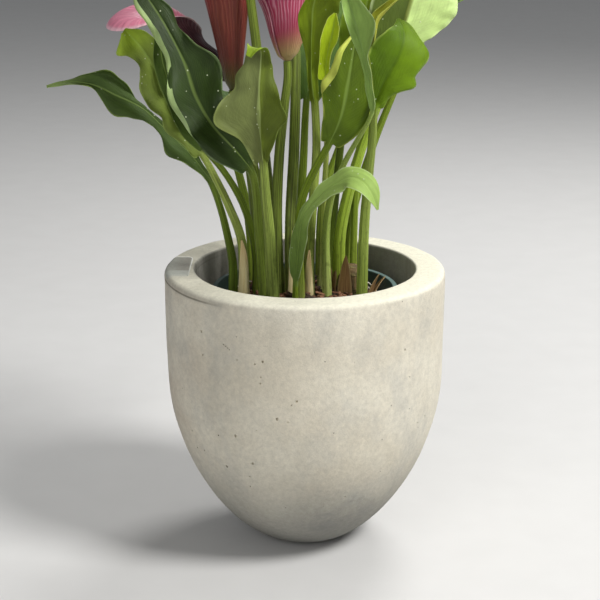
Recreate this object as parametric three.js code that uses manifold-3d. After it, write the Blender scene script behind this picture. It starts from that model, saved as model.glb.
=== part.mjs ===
// A potted calla lily: a rounded concrete cover pot, a thin nursery pot of soil inside it,
// and a clump of wavy leaves, funnel-shaped flowers and papery sheaths that stand in the soil.
// Millimetres, +Z up, origin on the middle of the pot's resting face, -Y towards the viewer.
import * as THREE from "three";
import { mergeVertices } from "three/addons/utils/BufferGeometryUtils.js";
import Module from "manifold-3d";

const wasm = await Module();
wasm.setup();

// Cover pot
const POT_HEIGHT = 181.5;
const POT_RIM_RADIUS = 90;
const POT_BELLY_RADIUS = 89.5;
const POT_BELLY_HEIGHT = 120;
const POT_BASE_RADIUS = 22;
const POT_ROUNDNESS = 1.36;
const POT_MOUTH_RADIUS = 71;
const POT_FLOOR = 45;
const POT_FLOOR_RADIUS = 44;
const POT_INNER_BULGE = 0.7;
const POT_MOUTH_TAPER = 1;
const POT_SIDES = 40;
const POT_CURVE_STEPS = 9;
const RIM_OUTER_ROUND = 3.5;
const RIM_INNER_ROUND = 1.2;

// Nursery pot that stands on the cover pot's floor
const GAP = 0.3;
const INNER_HEIGHT = 123;
const INNER_BASE_RADIUS = 41;
const INNER_TOP_RADIUS = 57;
const INNER_WALL = 1;
const INNER_LIP = 2.5;
const INNER_LIP_HEIGHT = 5;
const INNER_SIDES = 32;
const DRAIN_HOLES = 5;
const DRAIN_RADIUS = 4;
const DRAIN_CIRCLE = 24;

// Soil, and how deep the stems stand in it
const SOIL_TOP = 155;
const SOIL_RISE = 3;
const SOIL_GRAIN = 1.4;
const SOIL_RINGS = [0.82, 0.6, 0.35];
const SOIL_EDGE = 0.95;
const STAND_DEPTH = 12;
const HOLE_CLEARANCE = 0.6;
const HOLE_LENGTH = 60;

// Old brown crown of the tuber, which stands out of the soil on the right
const CROWN_PLACE = [29, 4];
const CROWN_SIDES = 12;
const CROWN_PROFILE = [
  [0, 140], [9, 142], [13, 150], [12.5, 158],
  [11, 168], [9.5, 176], [6, 181], [0, 182],
];

// Blades and petals
const BLADE_THICKNESS = 0.7;
const BLADE_STEPS = 10;
const BLADE_END = 0.985;
const BLADE_CROWDING = 1.2;
const ACROSS_HALF = 3;
const ACROSS_CROWDING = 0.9;
const LEAST_HALF_WIDTH = 0.6;
const LOBE_PLACE = 0.07;
const LOBE_START = 0.25;
const LOBE_POWER = 1.3;
const WAVE_POWER = 3;
const WAVE_SHIFT = 0.35;
const WAVE_ENDS = 4;
const RIB_DEPTH = 1.4;
const RIB_SPREAD = 0.2;
const RIB_TAPER = 1.3;
const SPAN_SAMPLES = 20;
const STALK_STEPS = 5;
const STEM_SIDES = 8;
const STEM_STEPS = 9;

// Each leaf stands in the soil at root, follows stalk to its blade, and rib to its tip.
// face lists the way its upper side looks. left and right are the widths of its halves,
// rise the slopes of both halves at the rib and curl what each adds by its margin, in
// degrees, all from base to tip. lobe is how far each half reaches back past the base.
// wave is the height of the margin's waves, their number and where they start.
const LEAVES = [
  {
    name: "leaf_far_left",
    color: 0x3f6b34,
    root: [-46, -3],
    stalk: [[-46, -3, 185], [-49, -5, 203], [-53, -7, 221], [-59, -8, 238]],
    rib: [
      [-70, -9, 255], [-85, -10, 271], [-100, -12, 286], [-116, -13, 294], [-132, -13, 301],
      [-148, -12, 302], [-162, -11, 298],
    ],
    girth: [3.4, 1.9],
    face: [[0.35, -0.75, 0.55], [0, -0.7, 0.7], [-0.2, -0.6, 0.8]],
    left: [3, 11, 8, 6, 9, 11, 5, 0.5],
    right: [2, 3, 3, 5, 11, 11, 4, 0.5],
    rise: [[15, 10, 20], [20, 10, 30]],
    curl: [[10, -40, -50], [-20, -30, 10]],
    lobe: [8, 3],
    wave: [2, 2, 0.2],
  },
  {
    name: "leaf_hooded",
    color: 0x5f7a2c,
    root: [-39, -10],
    stalk: [[-40, -10, 201], [-47, -14, 223], [-55, -18, 242], [-63, -21, 258]],
    rib: [
      [-75, -22, 273], [-82, -23, 286], [-88, -24, 300], [-92, -25, 314], [-100, -27, 327],
      [-108, -33, 337],
    ],
    girth: [3.6, 2.1],
    face: [[0.3, -0.9, 0.3], [0.3, -0.9, 0.3], [0.1, -0.8, 0.6]],
    left: [3, 6, 7, 11, 10, 14, 2],
    right: [2, 6, 7, 7, 9, 10, 2],
    rise: [[30, 15, 10], [40, 40, 30]],
    curl: [[-20, -10, -50], [20, 20, 20]],
    lobe: [4, 4],
    wave: [2, 2.5, 0],
  },
  {
    name: "leaf_dark_narrow",
    color: 0x2f5428,
    root: [-31, -3],
    stalk: [[-31, -4, 190], [-38, -15, 224], [-50, -25, 249], [-61, -31, 264]],
    rib: [[-72, -35, 282], [-80, -36, 301], [-85, -36, 318], [-87, -34, 332]],
    girth: [3.0, 1.8],
    face: [[0.4, -0.9, 0.2], [0.3, -0.95, 0.2], [0.2, -0.95, 0.2]],
    left: [2, 6, 7, 6, 6, 5, 0.5],
    right: [2, 6, 6, 6, 5, 4, 0.5],
    rise: [[20, 20, 20], [25, 25, 25]],
    curl: [[-10, -10, -10], [10, 10, 10]],
    lobe: [4, 4],
    wave: [1.5, 2, 0.4],
  },
  {
    name: "leaf_left_large",
    color: 0x36602f,
    root: [-26, -15],
    stalk: [[-29, -19, 212], [-30, -29, 235], [-33, -41, 253]],
    rib: [
      [-42, -47, 267], [-55, -49, 282], [-65, -49, 300], [-71, -47, 318], [-81, -43, 338],
      [-92, -39, 355], [-100, -38, 366],
    ],
    girth: [3.8, 2.4],
    face: [[0.2, -0.95, 0.25], [0.1, -0.98, 0.2], [0.3, -0.9, 0.3]],
    left: [3, 13, 10, 17, 7, 9, 9, 0.5],
    right: [3, 13, 16, 20, 23, 10, 6, 0.5],
    rise: [[10, 10, 10], [15, 15, 20]],
    curl: [[20, 20, -30], [-10, -20, -20]],
    lobe: [5, 5],
    wave: [4, 3, 0.1],
  },
  {
    name: "leaf_centre_pale",
    color: 0x8a9a5a,
    root: [-20, -27],
    stalk: [[-22, -34, 212], [-24, -44, 240], [-25, -53, 260]],
    rib: [
      [-26, -57, 274], [-27, -59, 290], [-27, -59, 306], [-26, -57, 318], [-26, -56, 326],
      [-28, -59, 331],
    ],
    girth: [4.6, 2.6],
    face: [[0, 0.98, 0.2], [0, 0.98, 0.2], [-0.2, 0.9, 0.4]],
    left: [3, 9, 16, 13, 10, 6, 3],
    right: [3, 12, 27, 23, 17, 13, 5],
    rise: [[-10, -10, 0], [-10, -5, 10]],
    curl: [[-10, -20, 10], [-15, -10, 20]],
    lobe: [2, 3],
    wave: [2.5, 2.5, 0.3],
  },
  {
    name: "leaf_tall_olive",
    color: 0x5b7326,
    root: [3, -7],
    stalk: [[3, -8, 194], [5, -10, 228], [7, -12, 260], [6, -12, 288]],
    rib: [
      [4, -12, 306], [4, -12, 322], [4, -13, 337], [5, -14, 350], [10, -17, 362],
      [17, -21, 369],
    ],
    girth: [3.4, 2.4],
    face: [[0.1, 0.98, 0], [0.1, 0.98, 0], [0, 0.9, 0.3]],
    left: [3, 5, 8, 12, 15, 12, 0.5],
    right: [3, 5, 8, 9, 9, 8, 0.5],
    rise: [[-10, -10, -10], [-10, -10, -10]],
    curl: [[-30, -30, -20], [-30, -30, -20]],
    lobe: [2, 2],
    wave: [1.5, 2, 0],
  },
  {
    name: "leaf_young_yellow",
    color: 0x9aa829,
    root: [10, 1],
    stalk: [[11, -5, 214], [13, -14, 255], [13, -22, 285], [12, -25, 304]],
    rib: [[13, -27, 320], [16, -28, 334], [18, -27, 346]],
    girth: [2.4, 1.3],
    face: [[-0.3, -0.9, 0.1], [-0.5, -0.8, 0.1], [-0.5, -0.8, 0.2]],
    left: [1.5, 2, 3, 4, 4.5, 3, 0.5],
    right: [1.5, 4, 3, 6.5, 7, 5, 0.5],
    rise: [[30, 30, 30], [20, 20, 20]],
    curl: [[20, 20, 20], [-20, -30, -20]],
    lobe: [1, 1],
    wave: [0.8, 2, 0],
  },
  {
    name: "leaf_front_olive",
    color: 0x4f7d22,
    root: [-3, -19],
    stalk: [[-4, -24, 205], [-2, -34, 233], [5, -41, 252], [14, -46, 270]],
    rib: [[20, -49, 284], [24, -48, 300], [27, -45, 317], [30, -41, 335]],
    girth: [3.2, 2.2],
    face: [[0.1, -0.95, 0.3], [0.1, -0.98, 0.1], [0, -0.98, 0]],
    left: [3, 11, 14, 13, 12, 9, 0.5],
    right: [3, 19, 21, 17, 12, 8, 0.5],
    rise: [[20, 20, 25], [-12, 0, 10]],
    curl: [[20, 30, 40], [-20, -20, 0]],
    lobe: [4, 2],
    wave: [1.5, 2, 0.5],
  },
  {
    name: "leaf_grey_green",
    color: 0x6f8f6a,
    root: [14, -10],
    stalk: [[13, -14, 205], [16, -23, 232], [24, -40, 258], [33, -54, 278], [39, -60, 291]],
    rib: [[37, -62, 308], [33, -61, 328], [28, -58, 346], [22, -50, 363], [17, -42, 376]],
    girth: [3.4, 1.8],
    face: [[-0.6, -0.8, 0.1], [-0.4, -0.9, 0.2], [0, -0.9, 0.4]],
    left: [2, 4, 4, 7, 8, 7, 5, 0.5],
    right: [2, 3, 4, 8, 12, 9, 5, 0.5],
    rise: [[20, 20, 10], [30, 25, 20]],
    curl: [[0, 0, 0], [20, 20, 20]],
    lobe: [1, 1],
    wave: [1.2, 2, 0],
  },
  {
    name: "leaf_right_bright",
    color: 0x5d9a1e,
    root: [36, -12],
    stalk: [[37, -14, 212], [39, -18, 242], [41, -22, 268], [42, -26, 288]],
    rib: [
      [46, -28, 301], [51, -29, 311], [56, -29, 320], [59, -26, 329], [59, -20, 336],
      [56, -13, 341],
    ],
    girth: [3.8, 2.4],
    face: [[-0.1, -0.9, 0.4], [0.2, -0.95, 0.2], [0.3, -0.95, -0.1]],
    left: [3, 12, 17, 17, 16, 9, 0.5],
    right: [3, 10, 19, 18, 17, 13, 0.5],
    rise: [[20, 15, 10], [10, 5, 0]],
    curl: [[10, 0, 10], [-20, -30, -20]],
    lobe: [1, 2],
    wave: [2.5, 2, 0.1],
  },
  {
    name: "leaf_top_right",
    color: 0x86a862,
    root: [22, 3],
    stalk: [[22, 3, 200], [28, 4, 231], [37, 6, 262], [48, 8, 291], [55, 9, 314]],
    rib: [[61, 10, 334], [66, 13, 351], [71, 17, 367], [76, 23, 381]],
    girth: [4.8, 2.2],
    face: [[-0.2, 0.9, 0.3], [-0.1, 0.95, 0.2], [0, 0.9, 0.4]],
    left: [3, 10, 21, 29, 29, 24, 14, 0.5],
    right: [3, 8, 16, 22, 24, 20, 12, 0.5],
    rise: [[-10, -10, -10], [-10, -10, -10]],
    curl: [[-10, -10, -20], [-10, -10, -20]],
    lobe: [2, 2],
    wave: [2.5, 2.5, 0.2],
  },
  {
    name: "leaf_low_arching",
    color: 0x5f9a3a,
    root: [-6, -29],
    stalk: [[-5, -33, 193], [-4, -37, 208]],
    rib: [
      [-1, -43, 226], [7, -49, 238], [17, -56, 248], [27, -63, 254], [34, -68, 252],
      [39, -71, 246], [43, -72, 235],
    ],
    girth: [2.4, 1.6],
    face: [[-0.6, -0.7, 0.3], [-0.2, -0.5, 0.8], [0.5, -0.6, 0.6]],
    left: [2, 5, 4, 5, 8, 8, 6, 0.5],
    right: [2, 6, 8, 6, 9, 9, 6, 0.5],
    rise: [[30, 20, 20], [20, 10, 20]],
    curl: [[-40, -30, -20], [-40, -40, -20]],
    lobe: [1, 1],
    wave: [1, 2, 0],
  },
  {
    name: "leaf_rolled_bud",
    color: 0xb5a83a,
    root: [31, 10],
    stalk: [[32, 11, 223], [34, 12, 255], [38, 11, 293], [40, 7, 325]],
    rib: [[43, 2, 338], [50, -3, 347], [60, -7, 356]],
    girth: [2.6, 1.5],
    face: [[0, -0.9, 0.5], [0, -0.8, 0.6], [0, -0.8, 0.6]],
    left: [1.5, 3, 4, 4, 3, 2, 0.5],
    right: [1.5, 3, 4, 4, 3, 2, 0.5],
    rise: [[50, 50, 40], [50, 50, 40]],
    curl: [[60, 60, 40], [60, 60, 40]],
    lobe: [0, 0],
    wave: [0.3, 1, 0],
  },
  {
    name: "leaf_behind_green",
    color: 0x5f9a2f,
    root: [15, 17],
    stalk: [[19, 20, 217], [24, 24, 265], [29, 26, 298]],
    rib: [[34, 27, 320], [37, 29, 336], [40, 33, 351], [41, 40, 364]],
    girth: [3.2, 2],
    face: [[0.1, -0.95, 0.1], [0, -0.9, 0.3], [0, -0.8, 0.5]],
    left: [3, 9, 13, 14, 12, 8, 0.5],
    right: [3, 9, 12, 13, 12, 8, 0.5],
    rise: [[15, 15, 15], [15, 15, 15]],
    curl: [[-10, -10, -10], [-10, -10, -10]],
    lobe: [3, 3],
    wave: [2, 2, 0.3],
  },
  {
    name: "leaf_far_right",
    color: 0x34582a,
    root: [28, 27],
    stalk: [[31, 30, 208], [43, 38, 249], [58, 44, 287], [71, 48, 316]],
    rib: [[84, 52, 337], [94, 57, 350], [105, 62, 360], [116, 69, 367]],
    girth: [3.2, 1.9],
    face: [[-0.5, -0.6, 0.6], [-0.4, -0.6, 0.7], [-0.1, -0.6, 0.8]],
    left: [2, 6, 11, 13, 12, 8, 0.5],
    right: [2, 6, 11, 13, 12, 8, 0.5],
    rise: [[20, 15, 15], [20, 15, 15]],
    curl: [[-20, -20, -20], [-20, -20, -20]],
    lobe: [4, 4],
    wave: [2, 2, 0.1],
  },
  {
    name: "leaf_back_left",
    color: 0x3b682f,
    root: [-34, 33],
    stalk: [[-37, 38, 205], [-44, 48, 234], [-52, 62, 256]],
    rib: [[-61, 76, 271], [-71, 90, 281], [-81, 104, 285], [-91, 117, 283], [-100, 128, 277]],
    girth: [3.6, 2.2],
    face: [[0.4, -0.5, 0.7], [0.2, -0.3, 0.9], [-0.2, 0, 0.95]],
    left: [3, 12, 17, 17, 15, 10, 0.5],
    right: [3, 12, 17, 17, 15, 10, 0.5],
    rise: [[20, 15, 10], [20, 15, 10]],
    curl: [[-20, -25, -20], [-20, -25, -20]],
    lobe: [8, 8],
    wave: [3, 2.5, 0.2],
  },
  {
    name: "leaf_back_middle",
    color: 0x45742f,
    root: [-2, 31],
    stalk: [[-3, 36, 205], [-1, 46, 241], [1, 58, 278]],
    rib: [[5, 71, 304], [9, 83, 322], [13, 95, 335], [19, 108, 343], [24, 121, 345]],
    girth: [3.6, 2.2],
    face: [[0.1, -0.7, 0.7], [0.1, -0.6, 0.8], [0, -0.1, 1]],
    left: [3, 14, 20, 21, 18, 12, 0.5],
    right: [3, 14, 20, 21, 18, 12, 0.5],
    rise: [[20, 15, 10], [20, 15, 10]],
    curl: [[-20, -25, -20], [-20, -25, -20]],
    lobe: [8, 8],
    wave: [3, 2.5, 0.6],
  },
  {
    name: "leaf_back_right",
    color: 0x4d7d33,
    root: [10, 37],
    stalk: [[12, 44, 215], [22, 55, 246], [34, 67, 274]],
    rib: [[45, 79, 293], [56, 90, 306], [67, 101, 313], [77, 112, 314], [86, 122, 309]],
    girth: [3.4, 2],
    face: [[-0.3, -0.5, 0.8], [-0.1, -0.3, 0.9], [0.2, 0, 0.95]],
    left: [3, 13, 19, 19, 16, 10, 0.5],
    right: [3, 13, 18, 19, 16, 10, 0.5],
    rise: [[20, 15, 10], [20, 15, 10]],
    curl: [[-20, -25, -20], [-20, -25, -20]],
    lobe: [7, 7],
    wave: [2.5, 2.5, 0.8],
  },
];

// Each flower stands in the soil at root, follows stalk to the foot of its spathe, and opens
// along axis. tip is the compass direction of the spathe's point. length is measured up the
// back of the spathe, front the share of it left at the overlap. lean is the slope of the back
// from its axis at the foot, at the throat and at the lip, and seam that of the overlap.
const FLOWERS = [
  {
    name: "left",
    spathe: 0x7a2340,
    root: [-29, 20],
    stalk: [[-31, 22, 200], [-35, 24, 239], [-40, 26, 270], [-48, 26, 298]],
    axis: [-0.68, 0, 0.735],
    tip: 180,
    length: 86,
    front: 0.48,
    foot: 4,
    lean: [24, 15, 172],
    seam: [14, 2, 2],
    flare: 2.8,
    point: 4,
    overlap: 60,
  },
  {
    name: "tube",
    spathe: 0x8d4a48,
    root: [-23, 5],
    stalk: [[-26, 5, 201], [-32, 4, 243], [-40, 4, 273], [-45, 4, 294]],
    axis: [-0.1, 0, 1],
    tip: 150,
    length: 88,
    front: 0.8,
    foot: 4,
    lean: [16, 5, 40],
    seam: [16, 4, 12],
    flare: 1.6,
    point: 12,
    overlap: 70,
  },
  {
    name: "middle",
    spathe: 0xa8386a,
    root: [-17, -5],
    stalk: [[-18, -3, 216], [-16, 0, 257], [-13, 3, 284], [-11, 5, 312]],
    axis: [-0.04, 0.06, 1],
    tip: 15,
    length: 82,
    front: 0.62,
    foot: 4,
    lean: [24, 11, 95],
    seam: [24, 10, 30],
    flare: 1.6,
    point: 14,
    overlap: 54,
  },
  {
    name: "high",
    spathe: 0xa2335e,
    root: [-16, 15],
    stalk: [
      [-20, 15, 190], [-24, 11, 235], [-27, 3, 270], [-29, -8, 315], [-33, -14, 352],
      [-36, -21, 372],
    ],
    axis: [-0.2, -0.35, 0.9],
    tip: 230,
    length: 72,
    front: 0.7,
    foot: 3.6,
    lean: [20, 10, 92],
    seam: [20, 8, 30],
    flare: 1.6,
    point: 14,
    overlap: 40,
  },
  {
    name: "back",
    spathe: 0x93305a,
    root: [-9, -7],
    stalk: [
      [-9, -4, 213], [-7, 8, 255], [-6, 19, 292], [-6, 34, 320], [-7, 52, 345],
      [-8, 64, 362],
    ],
    axis: [0.05, 0.42, 0.9],
    tip: 80,
    length: 72,
    front: 0.7,
    foot: 4,
    lean: [20, 10, 92],
    seam: [20, 8, 30],
    flare: 1.6,
    point: 14,
    overlap: 40,
  },
];
const STEM_GIRTH = [4.2, 2.6];
const STEM_COLOR = 0x55752a;
const SPADIX_COLOR = 0xc98a2e;
const SHEATH_COLOR = 0xc9b27a;
const NECK_LENGTH = 10;
const SPADIX_RADIUS = 3;
const SPADIX_SHARE = 0.5;
const SPATHE_AROUND = 13;
const SPATHE_STEPS = 8;
const SPATHE_ROLL = 1.9;
const SPATHE_FULLNESS = 0.8;
const SPATHE_THROAT = 0.45;
const MERIDIAN_STEPS = 12;
const POINT_START = 0.6;
const POINT_SPREAD = 26;
const POINT_OUT = 0.6;
const POINT_UP = 0.8;
const SPATHE_FLOOR = 7;

// Papery sheaths that wrap the foot of a stem: which one, from where to where up it,
// the compass direction of the middle and how much of the stem it wraps, in degrees.
const SHEATHS = [
  { name: "sheath_left", wraps: "leaf_hooded", top: 203, facing: -70, wrap: 150 },
  { name: "sheath_middle", wraps: "flower_back_stem", top: 207, facing: -60, wrap: 140 },
  { name: "sheath_right", wraps: "leaf_tall_olive", top: 196, facing: -100, wrap: 150 },
];
const SHEATH_GAP = 0.5;
const SHEATH_THICKNESS = 0.6;
const SHEATH_FLARE = 1.2;
const SHEATH_DEPTH = 7.2;
const SHEATH_NARROWING = 0.85;
const SHEATH_TAPER = 1.5;

const vector = (p) => new THREE.Vector3(...p);
const degrees = (angle) => THREE.MathUtils.degToRad(angle);
const clamp = (value) => THREE.MathUtils.clamp(value, 0, 1);
const mix = THREE.MathUtils.lerp;

// The value at u, from 0 to 1, of a list of numbers spread evenly over it.
function along(list, u) {
  const place = clamp(u) * (list.length - 1);
  const i = Math.min(list.length - 2, Math.floor(place));
  return mix(list[i], list[i + 1], place - i);
}

// The same, on a smooth curve through the numbers.
function smoothAlong(list, u) {
  const place = clamp(u) * (list.length - 1);
  const i = Math.min(list.length - 2, Math.floor(place));
  const t = place - i;
  const [b, c] = [list[i], list[i + 1]];
  const a = list[Math.max(0, i - 1)];
  const d = list[Math.min(list.length - 1, i + 2)];
  return b + 0.5 * t * (c - a + t * (2 * a - 5 * b + 4 * c - d + t * (3 * (b - c) + d - a)));
}

// A curve through a stem's control points, which starts upright in the soil.
function stemCurve([x, y], points) {
  const standing = [
    [x, y, SOIL_TOP - STAND_DEPTH],
    [x, y, SOIL_TOP + SOIL_RISE + SOIL_GRAIN],
    [x, y, SOIL_TOP + STAND_DEPTH],
  ];
  return new THREE.CatmullRomCurve3([...standing, ...points].map(vector), false, "centripetal");
}

// Direction, upper side and right side of a curve at the share s of its length.
function frameAt(curve, s, facing) {
  const forward = curve.getTangentAt(s);
  const up = facing.clone().addScaledVector(forward, -facing.dot(forward)).normalize();
  return { place: curve.getPointAt(s), forward, up, right: forward.clone().cross(up) };
}

// A closed skin over rings of points. Each ring runs along one face of the sheet and back
// along the other, and both faces are split along the same diagonals.
function skin(rings) {
  const count = rings[0].length;
  const half = count / 2;
  const index = [];
  for (let i = 0; i < rings.length - 1; i++) {
    for (let k = 0; k < count; k++) {
      const a = i * count + k;
      const b = i * count + ((k + 1) % count);
      if (k < half) index.push(a, b, b + count, a, b + count, a + count);
      else index.push(a, b, a + count, b, b + count, a + count);
    }
  }
  const last = (rings.length - 1) * count;
  for (let k = 0; k < half - 1; k++) {
    const [a, b, c, d] = [k, k + 1, count - 2 - k, count - 1 - k];
    index.push(a, c, b, a, d, c);
    index.push(last + a, last + b, last + c, last + a, last + c, last + d);
  }
  const geometry = new THREE.BufferGeometry().setFromPoints(rings.flat());
  return geometry.setIndex(index);
}

// The normal of a surface's first face at (u, v), from the surface itself.
function normalOf(surface, u, v) {
  const step = 1e-3;
  const alongV = surface(u, v + step).sub(surface(u, v - step));
  const alongU = surface(Math.min(1, u + step), v).sub(surface(Math.max(0, u - step), v));
  return alongV.cross(alongU).normalize();
}

// One ring of a sheet: its first face at all of vs, then back along its second face.
function sheetRing(surface, u, vs, depth) {
  const near = vs.map((v) => surface(u, v));
  const far = vs.map((v) => surface(u, v).addScaledVector(normalOf(surface, u, v), -depth(v)));
  return [...near, ...far.reverse()];
}

// A round ring with the same number of points as a sheet's ring.
function roundRing(frame, radius, count) {
  return Array.from({ length: count }, (_, k) => {
    const angle = Math.PI * (1 - (2 * k + 1) / count);
    return frame.place
      .clone()
      .addScaledVector(frame.right, radius * Math.cos(angle))
      .addScaledVector(frame.up, radius * Math.sin(angle));
  });
}

// Where the blade of a leaf lies: u from base to tip, v from the left to the right margin.
function bladeSurface(leaf, curve, start) {
  const [waveHeight, waves, phase] = leaf.wave;
  return (u, v) => {
    const facing = vector([0, 1, 2].map((axis) => along(leaf.face.map((f) => f[axis]), u)));
    const frame = frameAt(curve, mix(start, 1, u), facing);
    const side = v < 0 ? 0 : 1;
    const reach = Math.abs(v);
    const width = Math.max(LEAST_HALF_WIDTH, smoothAlong(side ? leaf.right : leaf.left, u));
    const slope = degrees(along(leaf.rise[side], u));
    const bend = degrees(along(leaf.curl[side], u)) || 1e-4;
    const out = (Math.sin(slope + bend * reach) - Math.sin(slope)) / bend;
    const lift = (Math.cos(slope) - Math.cos(slope + bend * reach)) / bend;
    const turn = 2 * Math.PI * (waves * u + phase + WAVE_SHIFT * side);
    const ends = clamp(WAVE_ENDS * u) * clamp(WAVE_ENDS * (1 - u));
    const ripple = waveHeight * ends * reach ** WAVE_POWER * Math.sin(turn);
    const backward = leaf.lobe[side] * (u / LOBE_PLACE) * Math.exp(1 - u / LOBE_PLACE);
    const lobing = clamp((reach - LOBE_START) / (1 - LOBE_START)) ** LOBE_POWER;
    return frame.place
      .addScaledVector(frame.right, Math.sign(v) * width * out)
      .addScaledVector(frame.up, width * lift + ripple)
      .addScaledVector(frame.forward, -backward * lobing);
  };
}

// A leaf in one piece: a round stalk that runs on into the rib of a thin blade.
function leafGeometry(leaf) {
  const curve = stemCurve(leaf.root, [...leaf.stalk, ...leaf.rib]);
  const spans = leaf.stalk.length + leaf.rib.length + 2;
  const lengths = curve.getLengths(SPAN_SAMPLES * spans);
  const start = lengths[SPAN_SAMPLES * (leaf.stalk.length + 2)] / lengths.at(-1);
  const vs = Array.from({ length: 2 * ACROSS_HALF + 1 }, (_, k) => {
    const share = (k - ACROSS_HALF) / ACROSS_HALF;
    return Math.sign(share) * Math.abs(share) ** ACROSS_CROWDING;
  });
  const count = 2 * vs.length;
  const radius = (s) => mix(leaf.girth[0], leaf.girth[1], clamp(s / start));
  const rings = [];
  for (let i = 0; i <= STALK_STEPS; i++) {
    const s = start * (i / STALK_STEPS);
    rings.push(roundRing(frameAt(curve, s, vector(leaf.face[0])), radius(s), count));
  }
  const surface = bladeSurface(leaf, curve, start);
  for (let i = 1; i <= BLADE_STEPS; i++) {
    const u = BLADE_END * (i / BLADE_STEPS) ** BLADE_CROWDING;
    const rib = RIB_DEPTH * leaf.girth[1] * (1 - u) ** RIB_TAPER;
    const depth = (v) => BLADE_THICKNESS + rib * clamp(1 - Math.abs(v) / RIB_SPREAD);
    rings.push(sheetRing(surface, u, vs, depth));
  }
  return { geometry: skin(rings), curve, radius };
}

// A round stem along a curve.
function stemGeometry(curve, girth) {
  const radius = (s) => mix(girth[0], girth[1], s);
  const rings = [];
  for (let i = 0; i <= STEM_STEPS; i++) {
    const s = i / STEM_STEPS;
    rings.push(roundRing(frameAt(curve, s, vector([0.1, -1, 0.1])), radius(s), STEM_SIDES));
  }
  return { geometry: skin(rings), curve, radius };
}

// How far out and up a spathe's sheet is at the share h of its meridian. back is 1 at the
// spathe's point and 0 at its overlap.
function meridian(flower, back, h) {
  const reach = flower.length * mix(flower.front, 1, back);
  const [first, throat, lip] = flower.lean.map((angle, k) => mix(flower.seam[k], angle, back));
  let out = flower.foot;
  let up = 0;
  for (let i = 0; i < MERIDIAN_STEPS; i++) {
    const share = (h * (i + 0.5)) / MERIDIAN_STEPS;
    const opening = clamp((share - SPATHE_THROAT) / (1 - SPATHE_THROAT)) ** flower.flare;
    const closing = clamp(1 - share / SPATHE_THROAT);
    const lean = degrees(mix(throat, lip, opening) + closing * (first - throat));
    out += (Math.sin(lean) * reach * h) / MERIDIAN_STEPS;
    up += (Math.cos(lean) * reach * h) / MERIDIAN_STEPS;
  }
  return [out, up];
}

// The rolled sheet of a spathe: u up the sheet, v round it from one free edge to the other.
function spatheSurface(flower) {
  return (u, v) => {
    const round = (v / 2) * (360 + flower.overlap);
    const back = ((1 + Math.cos(degrees(round))) / 2) ** SPATHE_FULLNESS;
    const [out, up] = meridian(flower, back, u);
    const late = clamp((u - POINT_START) / (1 - POINT_START));
    const point = flower.point * Math.exp(-((round / POINT_SPREAD) ** 2)) * late ** 2;
    const radius = out + (SPATHE_ROLL * (v + 1)) / 2 + POINT_OUT * point;
    return new THREE.Vector3(
      radius * Math.cos(degrees(round)),
      radius * Math.sin(degrees(round)),
      up + POINT_UP * point,
    );
  };
}

// Turns a shape that grows up +Z into a flower's axis, with its point at the flower's tip.
function alongAxis(geometry, flower, place) {
  const turn = new THREE.Quaternion().setFromUnitVectors(
    new THREE.Vector3(0, 0, 1),
    vector(flower.axis).normalize(),
  );
  geometry.rotateZ(degrees(flower.tip));
  geometry.applyQuaternion(turn);
  return geometry.translate(place.x, place.y, place.z);
}

function solidOf(geometry) {
  const bare = geometry.clone();
  bare.deleteAttribute("normal");
  bare.deleteAttribute("uv");
  const merged = mergeVertices(bare, 1e-4);
  return new wasm.Manifold(
    new wasm.Mesh({
      numProp: 3,
      vertProperties: new Float32Array(merged.attributes.position.array),
      triVerts: new Uint32Array(merged.index.array),
    }),
  );
}

function geometryOf(solid) {
  const mesh = solid.getMesh();
  const geometry = new THREE.BufferGeometry();
  geometry.setAttribute("position", new THREE.BufferAttribute(mesh.vertProperties, 3));
  return geometry.setIndex(new THREE.BufferAttribute(mesh.triVerts, 1));
}

// A turned shape about +Z from its points of radius and height.
const lathe = (points, sides) =>
  new THREE.LatheGeometry(
    points.map(([r, z]) => new THREE.Vector2(r, z)),
    sides,
  ).rotateX(Math.PI / 2);

// The open sheet of the spathe joined to the closed foot that carries the spadix.
function spatheGeometry(flower) {
  const vs = Array.from({ length: SPATHE_AROUND + 1 }, (_, k) => (2 * k) / SPATHE_AROUND - 1);
  const surface = spatheSurface(flower);
  const rings = [];
  for (let i = 0; i <= SPATHE_STEPS; i++) {
    rings.push(sheetRing(surface, i / SPATHE_STEPS, vs, () => BLADE_THICKNESS));
  }
  const top = meridian(flower, 1, SPATHE_FLOOR / flower.length)[0];
  const profile = [[0, 0], [flower.foot, 0], [top, SPATHE_FLOOR], [0, SPATHE_FLOOR]];
  return geometryOf(solidOf(skin(rings)).add(solidOf(lathe(profile, STEM_SIDES))));
}

// The finger-shaped spike of tiny florets that stands on the spathe's foot.
function spadixGeometry(flower) {
  const height = flower.length * SPADIX_SHARE;
  const start = SPATHE_FLOOR + GAP;
  const profile = [
    [0, start],
    [SPADIX_RADIUS, start],
    [SPADIX_RADIUS * 1.1, start + 0.5 * height],
    [SPADIX_RADIUS * 0.8, start + 0.9 * height],
    [0, start + height],
  ];
  return lathe(profile, STEM_SIDES);
}

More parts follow.
